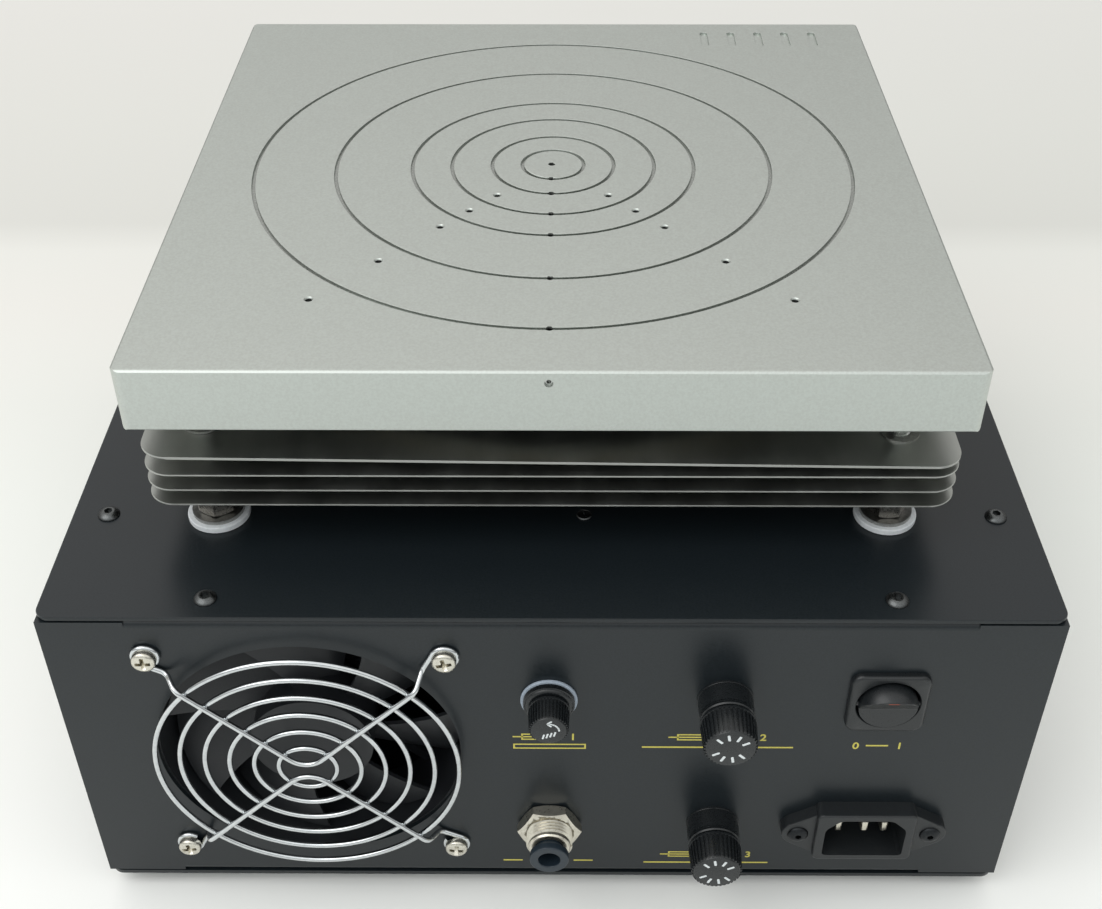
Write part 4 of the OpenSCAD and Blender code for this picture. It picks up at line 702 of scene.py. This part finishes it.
def holder(node, name, bore, throat, thread, body, seat, collar):
    """A fuse holder: a hollow body with two solder tags, and a collar drawn through this outline. Millimetres."""
    made = drawn_up(name, [
        (bore, 1.5 - body), (bore, -4), (throat, -4), (throat, collar[0][1]), *collar,
        (thread, seat), (thread, -body)], 96, FINE_SHARP)
    tags = []
    for z in (-body - 6, -body * 0.55):
        tags.append(block("tag", (-1.5, thread - 0.6, z), (1.5, thread + 2.8, z + 0.8)))
        tags.append(block("tag", (-1.5, thread + 2, z), (1.5, thread + 2.8, z + 6.5)))
    tags.append(block("tag", (-1.5, 0, -body - 6), (1.5, thread, -body - 5.2)))
    tags.append(block("tag", (-1.5, -0.5, -body - 6), (1.5, 0.5, -body + 0.5)))
    on_panel(joined(made, *tags), spot_of(node.replace("_holder", "_cap")))
    hand_over(made, holder_plastic, [node])


# A rim against the panel, a smooth waist, and two turned grooves below the mouth
large_collar = [
    (7.2, 8.3), (7.5, 8.2), (7.75, 7.8), (7.75, 7.55), (7.5, 7.5), (7.5, 7.3), (7.8, 7.25), (7.8, 6.95),
    (7.55, 6.9), (7.55, 6.7), (7.85, 6.65), (7.85, 1.0), (7.7, 0.95), (7.7, 0.75), (7.95, 0.7), (8.0, 0.6), (8.0, 0)]
for fuse in ("heater", "mains"):
    holder(
        f"{fuse}_fuse_holder", f"{fuse}_fuse_collar",
        bore=3.475, throat=4.725, thread=6.3, body=44, seat=0, collar=large_collar)
# The small one's collar has a coarse thread and a round shoulder
small_collar = [(5.95, 3.4), (6.35, 3.3), (6.7, 3.05), (6.9, 2.75)]
for z in (2.75, 2.2, 1.65):
    small_collar += [(6.9, z - 0.1), (7.3, z - 0.25), (7.3, z - 0.3), (6.9, z - 0.45)]
small_collar += [(6.9, 1.1), (7.3, 1.05), (7.3, 1)]
holder(
    "pump_fuse_holder", "pump_fuse_collar", bore=2.9, throat=4.15, thread=5.9, body=30, seat=1, collar=small_collar)

print_white, shader = start_material("white_pad_print", "#d9dedf", 0.6)
grain(print_white, shader, 0.3, 0.002, ("#ccd2d4", "#e4e8e9"), (0.55, 0.7))


# A cap's rib is as wide as two of its sides, and so is the gap beside it
CAP_SIDES = 144
# Millimetres of a printed dash below and above the cap's face
DASH_SUNK = 0.02
DASH_PROUD = 0.03


def ribbed_cap(name, node, back, length, radius, stem, bore, bore_end):
    """A fuse cap with 36 ribs, its back this far out of the panel, hollow behind for the fuse. Millimetres."""
    face = back + length - DASH_PROUD
    low = radius - 0.4
    cap = drawn_up(name, [
        (bore, bore_end), (bore, -3.5), (stem, -3.5), (stem, back), (radius - 0.15, back), (radius, back + 0.12),
        (radius, back + 0.75), (low, back + 0.95), (low, back + 1.15), (radius * 0.955 - 0.4, face - 0.9),
        (radius * 0.915 - 0.25, face - 0.35), (radius * 0.88 - 0.2, face - 0.07),
        (radius * 0.83 - 0.2, face)], CAP_SIDES, FINE_SHARP)
    bpy.ops.object.mode_set(mode="EDIT")

    def on_rib(middle, side):
        step = int(math.degrees(math.atan2(middle.y, middle.x)) / (360 / CAP_SIDES) + 2 * CAP_SIDES) % 4
        return back + 1.15 < middle.z < face - 0.4 and math.hypot(middle.x, middle.y) > stem + 0.5 and step < 2

    pick("faces", on_rib)
    bpy.ops.mesh.extrude_region_move(TRANSFORM_OT_translate={"value": (0, 0, 0)})
    grown = radius / low
    bpy.ops.transform.resize(value=(grown, grown, 1))
    bpy.ops.mesh.select_all(action="SELECT")
    bpy.ops.mesh.normals_make_consistent(inside=False)
    bpy.ops.object.mode_set(mode="OBJECT")
    bpy.ops.object.shade_smooth_by_angle(angle=math.radians(FINE_SHARP))
    spot = spot_of(node)
    hand_over(on_panel(cap, spot), holder_plastic, [node], node.replace("cap", "knob"))
    return spot, face


def dash(centre, turn, length, width, height):
    """A printed dash with rounded corners, this long along its turn, on a face at this height. Millimetres."""
    mark = block("dash", (-length / 2, -width / 2, -DASH_SUNK), (length / 2, width / 2, DASH_PROUD))
    bpy.ops.object.mode_set(mode="EDIT")
    pick("edges", lambda middle, edge: abs(middle.z - (DASH_PROUD - DASH_SUNK) / 2) < 0.001)
    bpy.ops.mesh.bevel(offset=width * 0.0003, segments=2)
    bpy.ops.object.mode_set(mode="OBJECT")
    return settle(mark, (centre[0], centre[1], height), (0, 0, turn))


def printed(name, marks, spot, body):
    """Printed marks on a cap, at this spot of the rear panel, which turn with it."""
    made = on_panel(joined(*marks), spot)
    made.name = name
    made.data.materials.clear()
    made.data.materials.append(print_white)
    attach(made, body)


def ringed(radius, angle):
    """The place on a ring about the middle, at this angle in degrees."""
    around = math.radians(angle)
    return radius * math.cos(around), radius * math.sin(around)


# Two arcs of four dashes on the large caps, and a row of dashes below an arrow on the small one
for fuse in ("heater", "mains"):
    spot, face = ribbed_cap(
        f"{fuse}_fuse_cap_ribbed", f"{fuse}_fuse_cap",
        back=8.9, length=9.1, radius=7.9, stem=4.425, bore=3.225, bore_end=7.35)
    marks = []
    for group in (0, 1):
        for step in range(4):
            angle = group * 180 + 28 + step * 36
            marks.append(dash(ringed(4.5, angle), angle, 2.3, 0.75, face))
    printed(f"{fuse}_fuse_marks", marks, spot, f"{fuse}_fuse_knob")

spot, face = ribbed_cap(
    "pump_fuse_cap_ribbed", "pump_fuse_cap", back=4.0, length=7.9, radius=5.85, stem=3.85, bore=2.65, bore_end=3.45)
marks = [dash((-1.5 + step * 1.05, -2.3 + step * 0.35), 75, 1.9, 0.5, face) for step in range(4)]
for step in range(7):
    marks.append(dash(ringed(2.9, 8 + step * 14), 98 + step * 14, 0.85, 0.5, face))
marks.append(dash((0.25, 3.55), 215, 1.5, 0.5, face))
marks.append(dash((0.2, 2.3), 140, 1.5, 0.5, face))
printed("pump_fuse_marks", marks, spot, "pump_fuse_knob")

# Pressed nitrile sealing ring, pale blue-grey
seal_rubber, shader = start_material("grey_seal_rubber", "#9aa5b1", 0.6)
grain(seal_rubber, shader, 0.5, 0.004, ("#929da9", "#a2adb9"), (0.55, 0.65))
seal = edge_rounded("pump_fuse_seal", "sealing_ring", (0.3, 3, every_edge))
hand_over(seal, seal_rubber, ["pump_fuse_seal"])

# Glazed ceramic fuse tubes with pressed caps
ceramic, shader = start_material("glazed_ceramic", "#d4d7d8", 0.3)
grain(ceramic, shader, 0.7, 0.002, ("#cdd0d1", "#dadddd"), (0.25, 0.35))
give(ceramic, "pump_fuse", "heater_fuse", "mains_fuse")


# The vacuum fitting: a push-in bulkhead fitting of nickel plated brass with a screw thread, clamped to
# the panel by its nut. A blue-black collet in its mouth lets the tube go when it is pressed.
nickel_brass, shader = start_material("nickel_plated_brass", "#d6d1c3", 0.3, 1.0)
grain(nickel_brass, shader, 0.9, 0.0006, ("#d0cbbd", "#dcd7ca"), (0.27, 0.36))
VACUUM_SPOT = (-0.5, 32.6)
fitting = threaded("bulkhead_fitting", [
    (3.1, -10), (3.1, 1), (4.5, 1), (4.5, 9.7), (4.7, 9.9), (5.5, 9.9), (6.0, 9.7), (6.35, 9.2), (6.35, -15.2),
    (6.0, -16), (2, -16), (2, -24), (1, -24), (1, -11)],
    pitch=1.1, crest=7.0, depth=0.6, turns=21, start=-15.0, sides=36)
behind_nut = settle(nut("behind_nut", across=17, bore=12.7, height=4), (0, 0, -5.5))
on_panel(joined(fitting, behind_nut), VACUUM_SPOT)
hand_over(fitting, nickel_brass, ["vacuum_fitting"])
front_nut = on_panel(nut("bulkhead_nut", across=17, bore=14.02, height=4.5), VACUUM_SPOT)
hand_over(front_nut, nickel_brass, ["fitting_nut"])

collet_plastic, shader = start_material("blue_black_plastic", "#1f2a33", 0.35)
grain(collet_plastic, shader, 0.5, 0.003, ("#1b262f", "#242f38"), (0.3, 0.4))
collet = edge_rounded("release_collet", "collet_ring", (0.35, 3, every_edge))
hand_over(collet, collet_plastic, ["release_collet"], "collet")


# The mains switch: a square snap-in body with a rounded bezel and a round rocker, both moulded in black
# nylon. The half of the rocker that isn't pressed stands out, with a small orange mark at its rim.
switch_nylon, shader = start_material("black_switch_nylon", "#181b1d", 0.32)
grain(switch_nylon, shader, 0.35, 0.004, ("#15181a", "#1d2022"), (0.27, 0.4))
SWITCH_SPOT = (95, 88.3)
PIVOT_OUT = 0.9
bezel = block("switch_bezel", (-11.25, -11.25, 0), (11.25, 11.25, 2))
bpy.ops.object.mode_set(mode="EDIT")
pick("edges", lambda middle, edge: abs(middle.z - 1) < 0.01)
bpy.ops.mesh.bevel(offset=0.0035, segments=8)
pick("edges", lambda middle, edge: middle.z > 1.99 and edge.calc_face_angle(0) > 1)
bpy.ops.mesh.bevel(offset=0.0011, segments=4)
bpy.ops.object.mode_set(mode="OBJECT")
cut_with(bezel, block("body", (-10.2, -10.2, -18), (10.2, 10.2, 1)), "UNION")
cut_with(bezel, drawn_up("well", [(8.95, -12), (8.95, 1.55), (9.05, 1.8), (9.3, 2), (9.3, 3)], 96))
pivot_hole = settle(drawn_up("pivot_hole", [(0.85, -9.65), (0.85, 9.65)], 24), (0, 0, PIVOT_OUT), (0, 90, 0))
cut_with(bezel, pivot_hole)
tabs = [block("tab", (x - 0.4, -2.4, -27), (x + 0.4, 2.4, -17.5)) for x in (-6, 0, 6)]
on_panel(joined(bezel, *tabs), SWITCH_SPOT)
hand_over(bezel, switch_nylon, ["switch_housing"])
rocker = edge_rounded("switch_rocker", "round_rocker", (0.3, 3, lambda m: m.y < rear_face - 1.2))
hand_over(rocker, switch_nylon, ["switch_rocker"], "rocker")

# The mark is a moulded-in inlay at the rim, on the slope of the half that stands out
orange_inlay, shader = start_material("orange_inlay", "#c0512c", 0.5)
grain(orange_inlay, shader, 0.3, 0.002, ("#b0472a", "#cc5c34"), (0.45, 0.55))
inlay = dash((0, 0), 0, 3.0, 0.8, 0)
# Each half of the rocker slopes by the angle that it is tilted by about its pivot
tilt, reach = 17, 7.1
settle(inlay, (0, reach, 1.75 + reach * math.tan(math.radians(tilt))), (tilt, 0, 0))
settle(inlay, (0, 0, PIVOT_OUT), (tilt, 0, 0))
on_panel(inlay, SWITCH_SPOT)
inlay.name = "rocker_mark"
inlay.data.materials.append(orange_inlay)
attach(inlay, "rocker")


# The mains inlet: a moulded shroud with two ears, screwed to the panel from outside, and three plated
# pins pressed through its floor.
inlet_plastic, shader = start_material("black_inlet_nylon", "#1b1e20", 0.42)
grain(inlet_plastic, shader, 0.5, 0.004, ("#181b1d", "#212426"), (0.36, 0.5))
INLET_SPOT = (95, 32.6)
EAR_REACH = 20


def from_inlet(middle):
    """How far a place is from the inlet's middle, across and up, and how far out of the panel. Millimetres."""
    return abs(middle.x - INLET_SPOT[0]), abs(middle.z - INLET_SPOT[1]), rear_face - middle.y


def cavity_corner(middle):
    """The cavity's corners, which run into the panel."""
    across, up, out = from_inlet(middle)
    return abs(out + 2.15) < 0.3 and across < 12.5 and up < 8.5 and (up > 7.9 or across > 12)


def shroud_rim(middle):
    """The shroud's outer rim, farthest out of the panel."""
    across, up, out = from_inlet(middle)
    return out > 5.5 and (across > 14 or up > 9.5)


def flange_rim(middle):
    """The flange's rim, without the edges round the screws in its ears."""
    across, up, out = from_inlet(middle)
    return abs(out - 4) < 0.05 and (across > 15.1 or up > 10.6) and math.hypot(across - EAR_REACH, up) > 4


inlet = edge_rounded(
    "inlet_body", "inlet_shroud", (1.3, 4, cavity_corner), (0.7, 3, shroud_rim), (0.5, 3, flange_rim))
hand_over(inlet, inlet_plastic, ["inlet_body"])

pins = []
# Line and neutral, and the earth pin, which is longer
for x, z, tip in ((-7, -1, 0.6), (7, -1, 0.6), (0, 3, 3.6)):
    pin = block("pin", (x - 1, z - 2, -26), (x + 1, z + 2, tip))
    bpy.ops.object.mode_set(mode="EDIT")
    pick("edges", lambda middle, edge: middle.z > tip - 0.01)
    bpy.ops.mesh.bevel(offset=0.0006, segments=3)
    bpy.ops.object.mode_set(mode="OBJECT")
    bpy.ops.object.shade_smooth_by_angle(angle=math.radians(SHARP))
    pins.append(pin)
pins = on_panel(joined(*pins), INLET_SPOT)
pins.name = "inlet_pins_plated"
hand_over(pins, nickel_brass, ["inlet_pins"])

inlet_screw = drawn_up("inlet_screw", [
    (1.4, -6), (1.59, -5.8), (1.59, 2.4), (3.0, 3.85), (3.15, 4.05), (3.1, 4.3), (2.8, 4.65), (2.3, 4.95),
    (1.7, 5.15), (1.3, 5.2)])
cut_with(inlet_screw, prism("socket", sides=6, across=1.8, low=4.1, high=6))
inlet_nut = settle(nut("inlet_nut", across=5.5, bore=3.2, height=2.4), (0, 0, -3.9))
joined(inlet_screw, inlet_nut)
# These are black zinc plated, duller and darker than the case screws
black_zinc, shader = start_material("black_zinc_steel", "#2c2e30", 0.4, 0.9)
grain(black_zinc, shader, 0.4, 0.001, ("#27292b", "#323436"), (0.34, 0.46))
for side, x in (("left", -EAR_REACH), ("right", EAR_REACH)):
    piece = copy_on_panel(inlet_screw, f"inlet_screw_{side}", (INLET_SPOT[0] + x, INLET_SPOT[1]), x)
    hand_over(piece, black_zinc, ["inlet_screws"])
bpy.data.objects.remove(inlet_screw)


# Panel print: yellow silk-screened marks below each connector, a hair thick. They are plain signs: a fuse
# sign, a number, and lines that frame them.
screen_yellow, shader = start_material("yellow_screen_print", "#c9bd55", 0.6)
grain(screen_yellow, shader, 0.4, 0.002, ("#beb24c", "#d2c75f"), (0.55, 0.7))
PRINT = 0.02
PRINT_SUNK = 0.005
LINE = 0.5
NUMERAL_HIGH = 2.7


def bar(x0, z0, x1, z1):
    """A printed bar between two corners on the rear panel. Millimetres from the panel's middle and the table."""
    return block("bar", (x0, rear_face - PRINT, z0), (x1, rear_face + PRINT_SUNK, z1))


def frame_of(x0, z0, x1, z1):
    """Four bars round a box."""
    return [
        bar(x0, z0, x1, z0 + LINE), bar(x0, z1 - LINE, x1, z1),
        bar(x0, z0 + LINE, x0 + LINE, z1 - LINE), bar(x1 - LINE, z0 + LINE, x1, z1 - LINE)]


def digits(words, x, z):
    """Plain numerals as printed, their left end and foot at this place in mm. They are 0.69 of the text's size high."""
    deselect()
    bpy.ops.object.text_add(location=(0, 0, 0))
    written = bpy.context.object
    written.data.body = words
    written.data.size = NUMERAL_HIGH / 690
    written.data.extrude = (PRINT + PRINT_SUNK) / 2000
    written.data.offset = 0.00008
    bpy.ops.object.convert(target="MESH")
    return settle(bpy.context.object, (x, rear_face - PRINT / 2, z), (90, 0, 0))


def screened(name, marks):
    """The marks as one piece in the print's yellow, which moves with the panel's body."""
    made = joined(*marks)
    made.name = name
    made.data.materials.clear()
    made.data.materials.append(screen_yellow)
    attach(made, UNIT)


def fuse_sign(x, z):
    """The common sign for a fuse: a box with a line through it."""
    return frame_of(x, z, x + 8, z + NUMERAL_HIGH) + [bar(x - 2.5, z + 1.1, x + 10.5, z + 1.6)]


screened("pump_fuse_print", fuse_sign(-8.6, 70.8) + [digits("1", 5.4, 70.8)] + frame_of(-11, 66.9, 10.2, 69.1))
screened("heater_fuse_print", fuse_sign(36.5, 70.8) + [digits("2", 60.5, 70.8), bar(26.5, 67.5, 70.5, 68.1)])
screened("mains_fuse_print", fuse_sign(36.5, 15.6) + [digits("3", 60.5, 15.6), bar(29, 12.5, 68, 13.1)])
screened("switch_print", [digits("0", 87.6, 67.4), digits("1", 100.3, 67.4), bar(91.5, 68.5, 98, 69.1)])
screened("vacuum_print", [bar(-15, 13.3, -9, 13.9), bar(7, 13.3, 13, 13.9)])


# Inside the case: the pump, the valve, the power supply and the relay on its heat sink. Cast and pressed
# aluminium, with silicone hoses between the pump, the valve and the fitting.
cast, shader = start_material("cast_aluminium", "#8d9194", 0.5, 1.0)
grain(cast, shader, 0.8, 0.01, ("#84888b", "#969a9d"), (0.45, 0.6))
give(cast, "vacuum_pump", "vacuum_valve", "power_supply", "solid_state_relay")

silicone, shader = start_material("clear_silicone", "#cfd6da", 0.3)
grain(silicone, shader, 1.5, 0.003, ("#c8cfd3", "#d6dde1"), (0.25, 0.35))
give(silicone, "vacuum_hoses")


# The front panel's controls: a temperature controller with a smoked window and three rubber keys, and a
# vacuum button of polished steel in its bush.
controller_plastic, shader = start_material("grey_black_plastic", "#222427", 0.45)
grain(controller_plastic, shader, 0.4, 0.005, ("#1e2023", "#26282b"), (0.4, 0.5))
front_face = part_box("front_panel")[1].y * 1000
controller = edge_rounded("controller_case", "controller_housing", (0.6, 3, lambda m: m.y > front_face + 7.9))
hand_over(controller, controller_plastic, ["controller_case"])

window_plastic, shader = start_material("smoked_window", "#2a0f11", 0.08)
grain(window_plastic, shader, 3.0, 0.0005, ("#260d0f", "#2e1113"), (0.05, 0.1))
give(window_plastic, "controller_window")

key_rubber, shader = start_material("grey_key_rubber", "#6c7075", 0.6)
grain(key_rubber, shader, 0.4, 0.003, ("#666a6f", "#72767b"), (0.55, 0.65))
for node in ("menu_key", "down_key", "up_key"):
    key = edge_rounded(node, f"{node}_cap", (0.3, 3, lambda m: m.y > front_face + 8.5))
    hand_over(key, key_rubber, [node], f"{node}_cap")

polished, shader = start_material("polished_steel", "#b8bbbd", 0.15, 1.0)
grain(polished, shader, 1.0, 0.001, ("#b2b5b7", "#bec1c3"), (0.1, 0.2))
bush = edge_rounded("button_bush", "button_ring", (0.5, 3, lambda m: m.y > front_face + 1.5))
hand_over(bush, polished, ["button_bush"])
button = edge_rounded("vacuum_button", "vacuum_push_button", (0.7, 4, lambda m: m.y > front_face + 2))
hand_over(button, polished, ["vacuum_button"], "vacuum_push")
